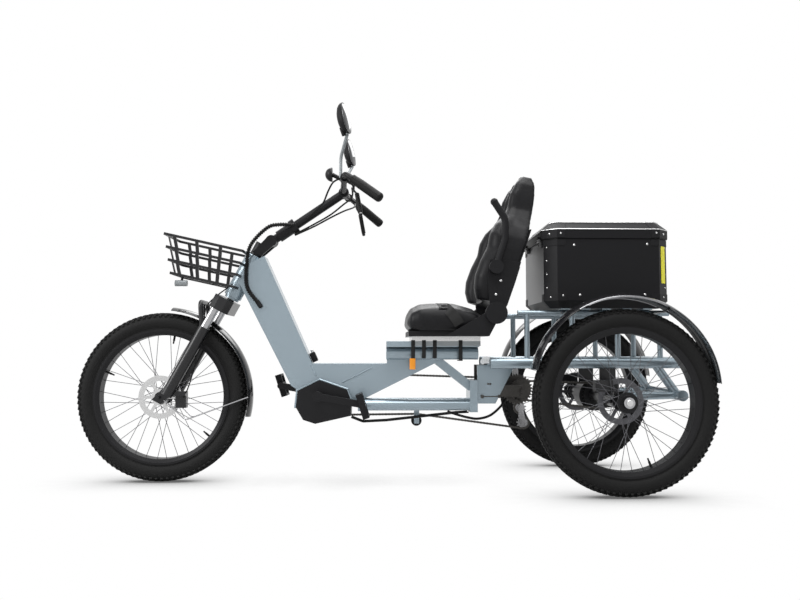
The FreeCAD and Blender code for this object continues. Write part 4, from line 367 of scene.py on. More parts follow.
cube = feed(treadTree, "GeometryNodeMeshCube", {"Size": size})
skewed = moved(treadTree, cube, {"Rotation": vectorOf(treadTree, {"Z": given["Skew"]})})
leant = moved(treadTree, skewed, {"Rotation": vectorOf(treadTree, {"Y": given["Lean"]})})
across = aimed(treadTree, {"Vector": (0, 0, 1)}, axis="X")
facing = aimed(treadTree, {"Rotation": across, "Vector": feed(treadTree, "GeometryNodeInputPosition")},
               axis="Z", pivot_axis="X")
spread = feed(treadTree, "GeometryNodeInstanceOnPoints", {"Points": ring, "Instance": leant,
                                                          "Rotation": facing})
standing = moved(treadTree, spread, {"Rotation": sideTurn})
endTree(treadTree, moved(treadTree, standing, {"Rotation": vectorOf(treadTree, {"Y": given["Phase"]}),
                                               "Translation": vectorOf(treadTree, {"Y": given["Offset"]})}))


def tyreProfile(look):
    profile = [(look["bed"], -look["bead"]), (look["wallStart"], -look["bead"])]
    for i in range(look["wallSteps"] + 1):
        turn = math.radians(-look["wallTurn"] + 2 * look["wallTurn"] * i / look["wallSteps"])
        radius = look["bodyRadius"] + look["bodyRise"] * math.cos(turn)
        profile.append((radius, look["half"] * math.sin(turn)))
    return profile + [(look["wallStart"], look["bead"]), (look["bed"], look["bead"])]


def rowRadius(look, across):
    turn = math.asin(max(-1, min(1, across / look["half"])))
    return look["bodyRadius"] + look["bodyRise"] * math.cos(turn)


treadParts = []
for offset, length, width, lean, skew, early in treadRows:
    radius = rowRadius(tyreLook, offset) + tyreLook["blockHeight"] - treadLook["Height"] / 2
    for side in (1, -1):
        values = {**treadLook, "Radius": radius, "Offset": side * offset, "Length": length, "Width": width,
                  "Lean": side * lean, "Skew": side * skew}
        if side == early:
            values["Phase"] = 0.0
        treadParts.append(grow(treadTree, values))
tyreBody = lathe(tyreProfile(tyreLook), tyreLook["steps"])
treadVerts, treadFaces = joined([tyreBody] + treadParts)


def middleOf(node):
    low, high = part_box(node)
    return (Vector(low) + Vector(high)) / 2


for name in ("front", "left", "right"):
    middle = middleOf(name + "_tyre")
    makePiece(name + "TyreTread", [middle + spot for spot in treadVerts], treadFaces, "tyreRubber",
              name + "_wheel", [name + "_tyre"], "tyre_rubber", 35)
print("tyres made")


# Second finishes on single frame nodes
def repaint(node, look, test):
    data = nodes[node].data
    data.materials.append(materials[look])
    slotIndex = len(data.materials) - 1
    for face in data.polygons:
        if test(face.center):
            face.material_index = slotIndex


frontAxle, rearAxle = (-0.8487, 0, 0.325), (0.8413, 0, 0.325)
steerFoot, steerLean = Vector((-0.80914, 0, 0.30353)), 0.49742
steerWay = Vector((math.sin(steerLean), 0, math.cos(steerLean)))
finishLook = {"sleeve": 0.0385, "spokeEnd": 0.2362, "rotorFrom": 0.0205, "rotorHalf": 0.0022,
              "frontRotor": 0.043, "rearRotor": 0.302, "hubFace": 0.3985, "lampMiddle": 0.777,
              "lampFace": 0.001, "carrier": 0.0475, "guardStay": 0.3}
carriageLook = [("steel", -1, 0.5575), ("plateSteel", -1, 0.54), ("brightTrim", 0.54, 0.556)]


def steerGap(spot):
    away = spot - steerFoot
    return (away - steerWay * away.dot(steerWay)).length


def axleGap(spot, axle):
    return math.hypot(spot[0] - axle[0], spot[2] - axle[2])


def onRotor(spot, axle, place):
    flat = abs(abs(spot.y) - place) < finishLook["rotorHalf"]
    return flat and axleGap(spot, axle) > finishLook["rotorFrom"]


for side in ("front", "left", "right"):
    axle = middleOf(side + "_rim")
    repaint(side + "_rim", "spokeSteel", lambda spot: axleGap(spot, axle) < finishLook["spokeEnd"])
    if side == "front":
        repaint("front_hub", "brightTrim",
                lambda spot: spot.y < 0 and onRotor(spot, axle, finishLook["frontRotor"]))
    else:
        repaint(side + "_hub", "steel", lambda spot: abs(spot.y) > finishLook["hubFace"])
        repaint(side + "_hub", "spokeSteel", lambda spot: onRotor(spot, axle, finishLook["rearRotor"]))
for look, low, high in carriageLook:
    repaint("seat_carriage", look, lambda spot: low <= spot.z < high)
repaint("basket", "framePaint", lambda spot: steerGap(spot) < finishLook["sleeve"])
repaint("headlight", "plateSteel", lambda spot: spot.z < finishLook["lampMiddle"])
repaint("headlight", "lampGlass", lambda spot: spot.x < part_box("headlight")[0][0] + finishLook["lampFace"])
repaint("jackshaft_bracket", "darkSteel", lambda spot: abs(spot.y) < finishLook["carrier"])
repaint("front_mudguard", "steel", lambda spot: axleGap(spot, frontAxle) < finishLook["guardStay"])
print("second finishes set")

# Cushions, remeshed from the frame and blown up as a filled cover
cushionLook = {"voxel": 0.006, "smooth": 6, "ease": 0.5, "pressure": 4.0, "tension": 30, "bending": 4,
               "frames": 20, "cap": 0.0022, "settle": 14, "seatHeld": 0.02, "backHeld": 0.75}
seatGrooves = {"across": [-0.095, 0.095], "depth": 0.006, "width": 0.007, "facing": (0, 0, 1)}
backGrooves = {"across": [-0.082, 0.082], "depth": 0.007, "width": 0.008, "facing": (-0.9763, 0, 0.2164)}


def stuffed(node, name, body, grooves, held):
    soft = bpy.data.objects.new(name, nodes[node].data.copy())
    scene.collection.objects.link(soft)
    fine = soft.modifiers.new("fine", "REMESH")
    fine.mode = "VOXEL"
    fine.voxel_size = cushionLook["voxel"]
    ease = soft.modifiers.new("ease", "SMOOTH")
    ease.factor = cushionLook["ease"]
    ease.iterations = cushionLook["smooth"]
    whole = evaluated(soft)
    soft.modifiers.clear()
    soft.data = whole
    whole.update()
    facing = Vector(grooves["facing"]).normalized()
    for vert in whole.vertices:
        front = max(0.0, vert.normal.dot(facing))
        for place in grooves["across"]:
            near = math.exp(-((vert.co.y - place) / grooves["width"]) ** 2)
            vert.co -= facing * (grooves["depth"] * near * front)
    start = [vert.co.copy() for vert in whole.vertices]
    group = soft.vertex_groups.new(name="held")
    group.add([vert.index for vert in whole.vertices if held(vert.co)], 1.0, "REPLACE")
    cloth = soft.modifiers.new("cloth", "CLOTH")
    cloth.settings.use_pressure = True
    cloth.settings.uniform_pressure_force = cushionLook["pressure"]
    cloth.settings.effector_weights.gravity = 0
    cloth.settings.vertex_group_mass = "held"
    cloth.settings.tension_stiffness = cushionLook["tension"]
    cloth.settings.bending_stiffness = cushionLook["bending"]
    cloth.point_cache.frame_start = 1
    cloth.point_cache.frame_end = cushionLook["frames"]
    for step in range(1, cushionLook["frames"] + 1):
        scene.frame_set(step)
    blown = evaluated(soft)
    soft.modifiers.clear()
    soft.vertex_groups.clear()
    soft.data = blown
    shifts = [vert.co - rest for vert, rest in zip(blown.vertices, start)]
    shifts = [shift * min(1, cushionLook["cap"] / max(shift.length, 1e-9)) for shift in shifts]
    for turn in range(cushionLook["settle"]):  # even out the cover's creases, not its crown
        sums, counts = [shift.copy() for shift in shifts], [1] * len(shifts)
        for edge in blown.edges:
            one, two = edge.vertices
            sums[one] += shifts[two]
            sums[two] += shifts[one]
            counts[one] += 1
            counts[two] += 1
        shifts = [total / count for total, count in zip(sums, counts)]
    for vert, rest, shift in zip(blown.vertices, start, shifts):
        vert.co = rest + shift
    scene.frame_set(1)
    final = soft.data
    bpy.data.objects.remove(soft)
    piece = placePiece(name, final, "leather", body, [node], 180)
    return piece


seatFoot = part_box("seat_cushion")[0][2] + cushionLook["seatHeld"]
backLow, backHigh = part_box("back_cushion")
backHeld = backLow[0] + cushionLook["backHeld"] * (backHigh[0] - backLow[0])
stuffed("seat_cushion", "seatPad", "seat", seatGrooves, lambda spot: spot.z < seatFoot)
stuffed("back_cushion", "backPad", "backrest", backGrooves, lambda spot: spot.x > backHeld)
print("cushions made")

# Places on the frame's own surfaces, met by a ray from one side
rayLook = {"start": 2.0, "missed": 0.05}
surfaces = {}


def onto(node, x, z, side=-1):
    if node not in surfaces:
        mesh = nodes[node]
        surfaces[node] = BVHTree.FromPolygons([mesh.matrix_world @ vert.co for vert in mesh.data.vertices],
                                              [tuple(face.vertices) for face in mesh.data.polygons])
    hit = surfaces[node].ray_cast(Vector((x, side * rayLook["start"], z)), Vector((0, -side, 0)))[0]
    return hit if hit is not None else Vector((x, side * rayLook["missed"], z))


# Domed heads on points, facing one way
studTree, given = newTree("studs", ("Radius", "Flat", "Facing"))
dome = feed(studTree, "GeometryNodeMeshUVSphere", {"Radius": given["Radius"], "Segments": 16, "Rings": 8})
endTree(studTree, feed(studTree, "GeometryNodeInstanceOnPoints", {
    "Points": given["Geometry"], "Instance": dome,
    "Rotation": aimed(studTree, {"Vector": given["Facing"]}, axis="Z"),
    "Scale": vectorOf(studTree, {"X": 1, "Y": 1, "Z": given["Flat"]})}))


def studs(places, facing, radius, flat=0.5):
    return grow(studTree, {"Radius": radius, "Flat": flat, "Facing": facing}, places)


# Cargo box: edge lines, corner caps, rivets and reflecting strips
boxLook = {"front": 0.6013, "rear": 1.0633, "half": 0.216, "corner": 0.042, "shrink": 0.586, "foot": 0.66,
           "footCut": 0.026, "top": 0.916, "lidFoot": 0.9165, "lidEdge": 0.9523, "lidTop": 0.9823,
           "over": 0.004, "shoulder": 0.03, "frontDepth": 0.0006}
capLook = {"thick": 0.0016, "sunk": -0.0004, "wrap": 0.03, "footGap": 0.001, "footRise": 0.052,
           "topDrop": 0.026, "topGap": 0.003}
lineLook = {"radius": 0.0018, "wider": 1.7, "out": 0.0008, "down": 0.001, "in": 0.002, "sunk": 0.0005,
            "sides": 8}
rivetLook = {"radius": 0.0042, "small": 0.75, "lift": 0.0002, "low": 0.04, "lidHeight": 0.935,
             "shares": {1: 0.78, 3: 0.78, 5: 0.78, 7: 0.22}}
sideRivets = [(0.7059, 0.8918), (0.9775, 0.896), (0.6626, 0.705), (0.7254, 0.707), (0.9663, 0.709)]
lidRivets = [(0.656, 0.935), (1.012, 0.937)]
edgeRivets = [0.886, 0.836, 0.786, 0.736]
tapeLook = {"low": 0.752, "high": 0.893, "width": 0.03, "lift": 0.0012, "sunk": 0.0002}


def planRing(inset, z):
    low, high = boxLook["front"] + inset, boxLook["rear"] - inset
    half = boxLook["half"] - inset
    cut = boxLook["corner"] - inset * boxLook["shrink"]
    return [Vector(spot) for spot in (
        (low + cut, -half, z), (high - cut, -half, z), (high, -half + cut, z), (high, half - cut, z),
        (high - cut, half, z), (low + cut, half, z), (low, half - cut, z), (low, -half + cut, z))]


def cornerCaps(levels):
    parts = []
    for start in (1, 3, 5, 7):
        verts = []
        for inset, z in levels:
            for lift, order in ((capLook["thick"], 1), (capLook["sunk"], -1)):
                ring = planRing(inset - lift, z)
                before, first, second, after = [ring[(start + k) % 8] for k in (-1, 0, 1, 2)]
                verts += [first + (before - first).normalized() * capLook["wrap"], first, second,
                          second + (after - second).normalized() * capLook["wrap"]][::order]
        parts.append((verts, ringFaces(len(levels), 8)))
    return joined(parts)


def chamferSpot(corner, inset, z, share=0.5):
    ring = planRing(inset, z)
    return ring[corner].lerp(ring[(corner + 1) % 8], share)


foot, cut, top = boxLook["foot"], boxLook["footCut"], boxLook["top"]
over, shoulder = boxLook["over"], boxLook["shoulder"]
lidEdge, lidTop = boxLook["lidEdge"], boxLook["lidTop"]
footCaps = cornerCaps([(cut, foot + capLook["footGap"]), (0, foot + cut), (0, foot + capLook["footRise"])])
topCaps = cornerCaps([(0, top - capLook["topDrop"]), (0, top - capLook["topGap"])])
makePiece("boxCornerCaps", *joined([footCaps, topCaps]), "blackPlastic", "frame", slotName="box_shell")
lidCaps = cornerCaps([(-over, boxLook["lidFoot"] + capLook["topGap"]), (-over, lidEdge), (shoulder, lidTop)])
makePiece("lidCornerCaps", *lidCaps, "blackPlastic", "lid", slotName="box_shell")
lowRing = planRing(-over - lineLook["out"], lidEdge - lineLook["down"])
highRing = planRing(shoulder - lineLook["in"], lidTop - lineLook["sunk"])
makePiece("lidEdgeLines", *joined([
    tube(lowRing, lineLook["radius"], lineLook["sides"], True),
    tube(highRing, lineLook["radius"] * lineLook["wider"], lineLook["sides"], True)]), "brightTrim", "lid")
boxHeads, lidHeads = [], []
rivet = rivetLook["radius"]
for side in (-1, 1):
    wall = side * (boxLook["half"] + rivetLook["lift"])
    boxSpots = [Vector((x, wall, z)) for x, z in sideRivets]
    lidSpots = [Vector((x, wall + side * over, z)) for x, z in lidRivets]
    boxHeads.append(studs(boxSpots, (0, side, 0), rivet))
    lidHeads.append(studs(lidSpots, (0, side, 0), rivet))
for corner, away in ((1, (1, -1, 0)), (3, (1, 1, 0)), (5, (-1, 1, 0)), (7, (-1, -1, 0))):
    boxSpots = [chamferSpot(corner, 0, z, rivetLook["shares"][corner]) for z in edgeRivets]
    boxSpots.append(chamferSpot(corner, -capLook["thick"], foot + rivetLook["low"]))
    lidSpots = [chamferSpot(corner, -over - capLook["thick"], rivetLook["lidHeight"])]
    boxHeads.append(studs(boxSpots, away, rivet * rivetLook["small"]))
    lidHeads.append(studs(lidSpots, away, rivet))
makePiece("boxRivets", *joined(boxHeads), "brightTrim", "frame")
makePiece("lidRivets", *joined(lidHeads), "brightTrim", "lid")
tapes = []
for corner in (1, 3):
    verts = []
    for z in (tapeLook["low"], tapeLook["high"]):
        for lift, order in ((-tapeLook["lift"], 1), (tapeLook["sunk"], -1)):
            first, second = planRing(lift, z)[corner:corner + 2]
            along = (second - first).normalized()
            spare = along * (((second - first).length - tapeLook["width"]) / 2)
            verts += [first + spare, second - spare][::order]
    tapes.append((verts, ringFaces(2, 4)))
makePiece("boxTapes", *joined(tapes), "yellowTape", "frame", smooth=0)
# Painted highlight: the box's front face above the foot chamfer gets a lighter grey metal than the black skin,
# for the light falling on that face
repaint("cargo_box", "boxFrontPaintedSheen",
        lambda spot: spot.x < boxLook["front"] + boxLook["frontDepth"] and spot.z > foot + cut)
print("box trims made")

# Mirrors, rounded shells with their glass
mirrorLook = {"wide": 0.042, "high": 0.059, "tilt": 0.2, "yaw": -0.3, "steps": 40, "square": 0.86,
              "taper": 0.1, "shift": (0.004, 0, 0.001), "neckTop": (0.016, 0, 0.036), "neckBack": 0.006,
              "neckDrop": 0.006, "neck": 0.0085}
shellRows = [(0.0012, 0.93), (0.0012, 0.99), (-0.001, 1.0), (-0.007, 0.985), (-0.014, 0.92), (-0.021, 0.78),
             (-0.027, 0.54), (-0.03, 0.25)]  # depth, share of the size
glassRows = [(0.0013, 0.92), (0.0018, 0.9)]
mirrorTurn = Matrix.Rotation(mirrorLook["yaw"], 3, "Z")
mirrorTurn = mirrorTurn @ Matrix.Rotation(mirrorLook["tilt"], 3, "Y").inverted()
neckFoot = Vector((mirrorLook["neckBack"], 0, mirrorLook["high"] + mirrorLook["neckDrop"]))


def mirrorRows(centre, rows):
    verts = []
    for depth, size in rows:
        for i in range(mirrorLook["steps"]):
            angle = 2 * math.pi * i / mirrorLook["steps"]
            across, up = math.cos(angle), math.sin(angle)
            across = math.copysign(abs(across) ** mirrorLook["square"], across)
            across = across * (1 - mirrorLook["taper"] * up)
            away = Vector((depth, across * mirrorLook["wide"] * size, up * mirrorLook["high"] * size))
            verts.append(centre + mirrorTurn @ away)
    return verts, ringFaces(len(rows), mirrorLook["steps"])


for name in ("left", "right"):
    centre = middleOf(name + "_mirror") + Vector(mirrorLook["shift"])
    neck = knob(centre - neckFoot, centre - Vector(mirrorLook["neckTop"]), mirrorLook["neck"], 20)
    makePiece(name + "MirrorShell", *joined([mirrorRows(centre, shellRows), neck]), "blackPlastic",
              name + "_mirror", [name + "_mirror"], "black_plastic", 45)
    # The glass is darkened to a dark grey as a painted reflection
    makePiece(name + "MirrorGlass", *mirrorRows(centre, glassRows), "mirrorGlass", name + "_mirror")
print("mirrors made")


# Repeats along a line: wrap turns, chain links
def alongTree(name, labels, axis, pivot):
    tree, given = newTree(name, labels)
    line = feed(tree, "GeometryNodeMeshToCurve", {0: given["Geometry"]})
    aim = aimed(tree, {"Vector": feed(tree, "GeometryNodeInputTangent")}, axis=axis, pivot_axis=pivot)
    spread = addNode(tree, "GeometryNodeInstanceOnPoints", {"Points": line, "Rotation": aim})
    endTree(tree, spread.outputs[0])
    return tree, given, spread.inputs["Instance"]


wrapTree, given, wrapShape = alongTree("wrapTurns", ("Radius", "Width"), "Z", "AUTO")
turnRing = feed(wrapTree, "GeometryNodeMeshCylinder", {
    "Vertices": 18, "Radius": given["Radius"], "Depth": given["Width"]})
wrapTree.links.new(turnRing, wrapShape)

chainPitch, arcSteps = 0.0127, 24
linkTree, given, linkShape = alongTree("chainLinks", ("Length", "Height", "Thick", "Gap", "Roller"), "X", "Y")
plate = feed(linkTree, "GeometryNodeMeshCylinder", {"Vertices": 12, "Radius": 0.5, "Depth": 1})
size = vectorOf(linkTree, {"X": given["Length"], "Y": given["Height"], "Z": given["Thick"]})
plate = moved(linkTree, plate, {"Scale": size})
roller = feed(linkTree, "GeometryNodeMeshCylinder", {
    "Vertices": 12, "Radius": given["Roller"], "Depth": given["Gap"]})
both = addNode(linkTree, "GeometryNodeJoinGeometry")
for way in (-0.5, 0.5):
    reach = feed(linkTree, "ShaderNodeMath", {0: given["Gap"], 1: way}, operation="MULTIPLY")
    shift = vectorOf(linkTree, {"Y": reach})
    linkTree.links.new(moved(linkTree, plate, {"Rotation": sideTurn, "Translation": shift}), both.inputs[0])
for way in (-0.5, 0.5):
    shift = (way * chainPitch, 0, 0)
    linkTree.links.new(moved(linkTree, roller, {"Rotation": sideTurn, "Translation": shift}), both.inputs[0])
linkTree.links.new(both.outputs[0], linkShape)


# Chains on the same wheels as the frame
def pitchRadius(teeth):
    return chainPitch / (2 * math.sin(math.pi / teeth))


def chainLine(wheels, offset):
    spans = []
    for i, (centre, radius, turn) in enumerate(wheels):
        after = wheels[(i + 1) % len(wheels)]
        gap = Vector((after[0][0] - centre[0], after[0][1] - centre[1]))
        lean = math.atan2(gap.y, gap.x) - math.asin((after[2] * after[1] - turn * radius) / gap.length)
        left = Vector((-math.sin(lean), math.cos(lean)))
        spans.append((Vector(centre) - left * (turn * radius),
                      Vector(after[0]) - left * (after[2] * after[1])))
    line = []
    for i, (centre, radius, turn) in enumerate(wheels):
        enter, leave = spans[i - 1][1] - Vector(centre), spans[i][0] - Vector(centre)
        begin = math.atan2(enter.y, enter.x)
        sweep = math.atan2(leave.y, leave.x) - begin
        while sweep * turn < 0:
            sweep += turn * 2 * math.pi
        for k in range(arcSteps + 1):
            angle = begin + sweep * k / arcSteps
            x, z = centre[0] + radius * math.cos(angle), centre[1] + radius * math.sin(angle)
            line.append(Vector((x, offset, z)))
    return line + [line[0]]


def evenly(line, count):
    lengths = [0.0]
    for i in range(1, len(line)):
        lengths.append(lengths[-1] + (line[i] - line[i - 1]).length)
    spots, k = [], 1
    for i in range(count):
        along = lengths[-1] * i / count
        while lengths[k] < along:
            k += 1
        share = (along - lengths[k - 1]) / max(lengths[k] - lengths[k - 1], 1e-9)
        spots.append(line[k - 1].lerp(line[k], share))
    return spots, lengths[-1]


chainLook = {"Length": 0.0212, "Height": 0.0086, "Thick": 0.0011}
linkKinds = [{"Gap": 0.0062, "Roller": 0.0024}, {"Gap": 0.004, "Roller": 0.0038}]  # outer and inner
jackSpot, rearSpot = (0.5413, 0.347), (rearAxle[0], rearAxle[2])
driveWheels = [((-0.2417, 0.33), pitchRadius(42), -1), (jackSpot, pitchRadius(21), -1),
               ((0.5533, 0.273), pitchRadius(11), 1), ((0.5653, 0.213), pitchRadius(11), -1),
               ((0.1363, 0.223), 0.0258, 1)]
axleWheels = [(jackSpot, pitchRadius(18), -1), (rearSpot, pitchRadius(24), -1)]
for name, wheels, offset, node in (("driveChainLinks", driveWheels, 0.08, "drive_chain"),
                                   ("axleChainLinks", axleWheels, 0.015, "axle_chain")):
    line = chainLine(wheels, offset)
    length = evenly(line, 2)[1]
    count = 2 * round(length / chainPitch / 2)
    spots = evenly(line, count)[0]
    parts = []
    for start, kind in enumerate(linkKinds):
        parts.append(grow(linkTree, {**chainLook, **kind}, spots[start::2] + [spots[start]]))
    makePiece(name, *joined(parts), "darkSteel", "frame", [node], "bright_steel", 40)
print("chains made")

# Wrapped harness in two pieces, and the cables along the stem
harnessLine = smoothLine([(-0.3495, -0.0383, 0.99), (-0.4, -0.052, 0.99), (-0.4474, -0.0546, 0.9764),
                          (-0.5088, -0.0546, 0.9101), (-0.5242, -0.0546, 0.8324), (-0.5213, -0.0546, 0.7469),
                          (-0.4781, -0.0546, 0.6855)], 14)
harnessLook = {"core": 0.0058, "turn": 0.008, "width": 0.0052, "pitch": 0.009, "middle": 28}
grommetLook = {"back": (-0.006, 0.0035, 0.008), "front": (0.01, 0.0035, -0.015), "radius": 0.0088,
               "dome": 0.004}
cordLook = {"stem": 0.0034, "brake": 0.0024, "rear": 0.0048, "steps": 8}


def wrapped(line):
    length = sum((line[i + 1] - line[i]).length for i in range(len(line) - 1))
    count = int(length / harnessLook["pitch"])
    spots = evenly(line, count)[0]
    turns = grow(wrapTree, {"Radius": harnessLook["turn"], "Width": harnessLook["width"]}, spots)
    return joined([tube(line, harnessLook["core"], 14), turns])


middle = harnessLook["middle"]
upper = makePiece("harnessUpper", *wrapped(harnessLine[:middle + 1]), "softRubber", None, ["harness"],
                  "soft_rubber", 40)
lower = makePiece("harnessLower", *wrapped(harnessLine[middle:]), "softRubber", None, ["harness"],
                  "soft_rubber", 40)
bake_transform(upper)
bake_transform(lower)
grommet = harnessLine[-1]
grommetEnds = [grommet + Vector(grommetLook[end]) for end in ("back", "front")]
makePiece("harnessGrommet", *knob(*grommetEnds, grommetLook["radius"], 20, grommetLook["dome"]), "blackPlastic",
          "frame")
stemCables = [
    [(-0.345, -0.018, 0.957), (-0.27, -0.022, 0.996), (-0.2055, -0.026, 1.033), (-0.158, -0.048, 1.066),
     (-0.118, -0.105, 1.088), (-0.115, -0.16, 1.112)],
    [(-0.345, -0.008, 0.955), (-0.27, -0.008, 0.99), (-0.2055, -0.004, 1.026), (-0.156, 0.03, 1.058),
     (-0.118, 0.105, 1.088), (-0.115, 0.16, 1.112)],
    [(-0.295, -0.021, 1.02), (-0.26, -0.036, 1.05), (-0.23, -0.07, 1.072), (-0.208, -0.105, 1.112),
     (-0.186, -0.135, 1.14), (-0.15, -0.168, 1.15)]]
stemTubes = [tube(smoothLine(path, cordLook["steps"]), cordLook["stem"], 10) for path in stemCables]
makePiece("stemCables", *joined(stemTubes), "softRubber", "handlebar", slotName="soft_rubber")
hoseLine = smoothLine([(-0.575, -0.05, 0.76), (-0.595, -0.056, 0.744), (-0.642, -0.064, 0.706),
                       (-0.6717, -0.07, 0.67), (-0.682, -0.064, 0.62), (-0.696, -0.062, 0.56),
                       (-0.712, -0.06, 0.5127), (-0.7125, -0.06, 0.4594), (-0.736, -0.062, 0.3684),
                       (-0.756, -0.06, 0.325)], cordLook["steps"])
hose = makePiece("brakeHose", *tube(hoseLine, cordLook["brake"], 8), "softRubber", None)
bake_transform(hose)
rearHose = [(0.25, -0.045, 0.269), (0.29, -0.047, 0.256), (0.33, -0.047, 0.2455),
            (0.368, -0.046, 0.241), (0.414, -0.044, 0.2527), (0.4543, -0.04, 0.2843),
            (0.48, -0.032, 0.318)]
rearTube = tube(smoothLine(rearHose, cordLook["steps"]), cordLook["rear"], 10)
makePiece("rearHose", *rearTube, "softRubber", "frame", slotName="soft_rubber")
print("cords made")

# Grips with rounded ends, and the lever sleeves
gripLook = {"start": (-0.11, 0.246, 1.1285), "end": (-0.014, 0.2839, 1.0534), "radius": 0.0182,
            "ribs": 0.0006, "steps": 44, "neck": 0.88, "swell": 0.12, "swellSteps": 14, "endSteps": 6,
            "endLength": 0.012, "endFlat": 0.45, "endRound": 0.55}
leverLook = {"levels": (1.07, 1.05, 1.03, 1.012), "near": 0.012, "sleeve": 0.0085, "tipFrom": 0.006,
             "tipLength": 0.01, "tip": 0.0062, "dome": 0.004}
for name, side in (("left", -1), ("right", 1)):
    mirror = Vector((1, side, 1))
    start, end = Vector(gripLook["start"]) * mirror, Vector(gripLook["end"]) * mirror
    steps = gripLook["steps"]
    line = [start.lerp(end, k / steps) for k in range(steps + 1)]
    sizes = []
    for k in range(steps + 1):
        swell = gripLook["neck"] + gripLook["swell"] * min(1, k / gripLook["swellSteps"])
        sizes.append(gripLook["radius"] * swell - gripLook["ribs"] * (k % 2))
    way = (end - start).normalized()
    for k in range(1, gripLook["endSteps"] + 1):
        turn = k * math.pi / (2 * gripLook["endSteps"])
        line.append(end + way * (gripLook["endLength"] * math.sin(turn)))
        sizes.append(gripLook["radius"] * (gripLook["endFlat"] + gripLook["endRound"] * math.cos(turn)))
    makePiece(name + "GripCover", *tube(line, sizes, 28), "softRubber", "handlebar", ["grips"],
              "soft_rubber", 50)
    blade = nodes[name + "_brake_lever"]
    spots = [blade.matrix_world @ vert.co for vert in blade.data.vertices]
    line = []
    for level in leverLook["levels"]:
        near = [spot for spot in spots if abs(spot.z - level) < leverLook["near"]]
        if near:
            line.append(sum(near, Vector()) / len(near))
    makePiece(name + "LeverSleeve", *tube(line, leverLook["sleeve"], 14), "softRubber", name + "_lever",
              slotName="soft_rubber")
    print(name, "lever sleeve over", len(line), "levels")
    foot = min(spots, key=lambda spot: spot.z)
    tipTop = Vector((foot.x, foot.y, foot.z + leverLook["tipFrom"]))
    tipStart = tipTop + Vector((0, 0, leverLook["tipLength"]))
    makePiece(name + "LeverTip", *knob(tipStart, tipTop, leverLook["tip"], 14, leverLook["dome"]),
              "brightTrim", name + "_lever")
print("grips made")

# Straps on the seat rail, with the tag on the first
strapLook = {"places": [0.115, 0.156, 0.197, 0.294], "feet": [0.47, 0.476, 0.476, 0.466],
             "width": 0.0145, "out": -0.1285, "in": -0.06, "thick": 0.0022, "top": 0.542, "under": 0.002,
             "over": 0.0005, "edge": 0.0006}
tagLook = {"foot": 0.432, "width": 0.022, "shift": 0.002, "out": 0.001, "in": 0.003, "rise": 0.004,
           "edge": 0.002}
bands = []
out, half = strapLook["out"], strapLook["width"] / 2
for x, low in zip(strapLook["places"], strapLook["feet"]):
    bands.append(block((x - half, out, low), (x + half, out + strapLook["thick"], strapLook["top"]),
                       strapLook["edge"]))
    bands.append(block((x - half, out, low - strapLook["under"]),
                       (x + half, strapLook["in"], low + strapLook["over"]), strapLook["edge"]))
makePiece("railStraps", *joined(bands), "webbing", "frame", slotName="belt_web")
x, half = strapLook["places"][0] - tagLook["shift"], tagLook["width"] / 2
makePiece("railTag", *block((x - half, out - tagLook["out"], tagLook["foot"]),
                            (x + half, out + tagLook["in"], strapLook["feet"][0] + tagLook["rise"]),
                            tagLook["edge"]), "orangeTag", "frame")

# Bolts and small fittings, set on the surfaces of the frame
boltLook = {"seat": [(0.4355, 0.7601), (0.4168, 0.7089)], "plate": [(0.4154, 0.3741), (0.407, 0.3741)],
            "slot": [(0.3841, 0.3262), (0.4498, 0.3262)], "seatRadius": 0.0052, "seatFlat": 0.6,
            "plateRadius": 0.0042, "plateFlat": 0.5, "slotOut": 0.0012, "slotHalf": 0.002}
nutLook = {"in": 0.001, "out": 0.006, "radius": 0.0075, "dome": 0.001}
seatHeads, plateHeads = [], []
for side in (-1, 1):
    facing = (0, side, 0)
    spots = [onto("backrest_frame", x, z, side) for x, z in boltLook["seat"]]
    seatHeads.append(studs(spots, facing, boltLook["seatRadius"], boltLook["seatFlat"]))
    spots = [onto("jackshaft_bracket", x, z, side) for x, z in boltLook["plate"]]
    plateHeads.append(studs(spots, facing, boltLook["plateRadius"], boltLook["plateFlat"]))
    first, last = [onto("jackshaft_bracket", x, z, side) for x, z in boltLook["slot"]]
    for spot in (first, last):
        plateHeads.append(boss(spot, side, nutLook, 6))
    near, far = sorted((first.y, first.y + side * boltLook["slotOut"]))
    plateHeads.append(block((first.x, near, first.z - boltLook["slotHalf"]),
                            (last.x, far, first.z + boltLook["slotHalf"])))
makePiece("seatBolts", *joined(seatHeads), "brightTrim", "backrest")
makePiece("bracketBolts", *joined(plateHeads), "darkSteel", "frame", slotName="bright_steel")

# Battery lock with its key
lockLook = {"lean": -0.42, "spot": (-0.268, 0, 0.478), "low": (0.011, 0.012, 0.02),
            "high": (0.011, 0.012, 0.018), "edge": 0.003, "keyFoot": (0.003, 0, 0.018),
            "keyLength": 0.01, "key": 0.0055, "keyDome": 0.002}
lockTurn = Matrix.Rotation(lockLook["lean"], 3, "Y")
lockSpot = Vector(lockLook["spot"])
lockBody = block(lockSpot - Vector(lockLook["low"]), lockSpot + Vector(lockLook["high"]), lockLook["edge"],
                 lockTurn, lockSpot)
makePiece("batteryLock", *lockBody, "blackPlastic", "frame")
tip = lockTurn @ Vector(lockLook["keyFoot"])
keyEnd = lockSpot + tip + lockTurn @ Vector((0, 0, lockLook["keyLength"]))
makePiece("batteryKey", *knob(lockSpot + tip, keyEnd, lockLook["key"], 16, lockLook["keyDome"]), "brightTrim",
          "frame")

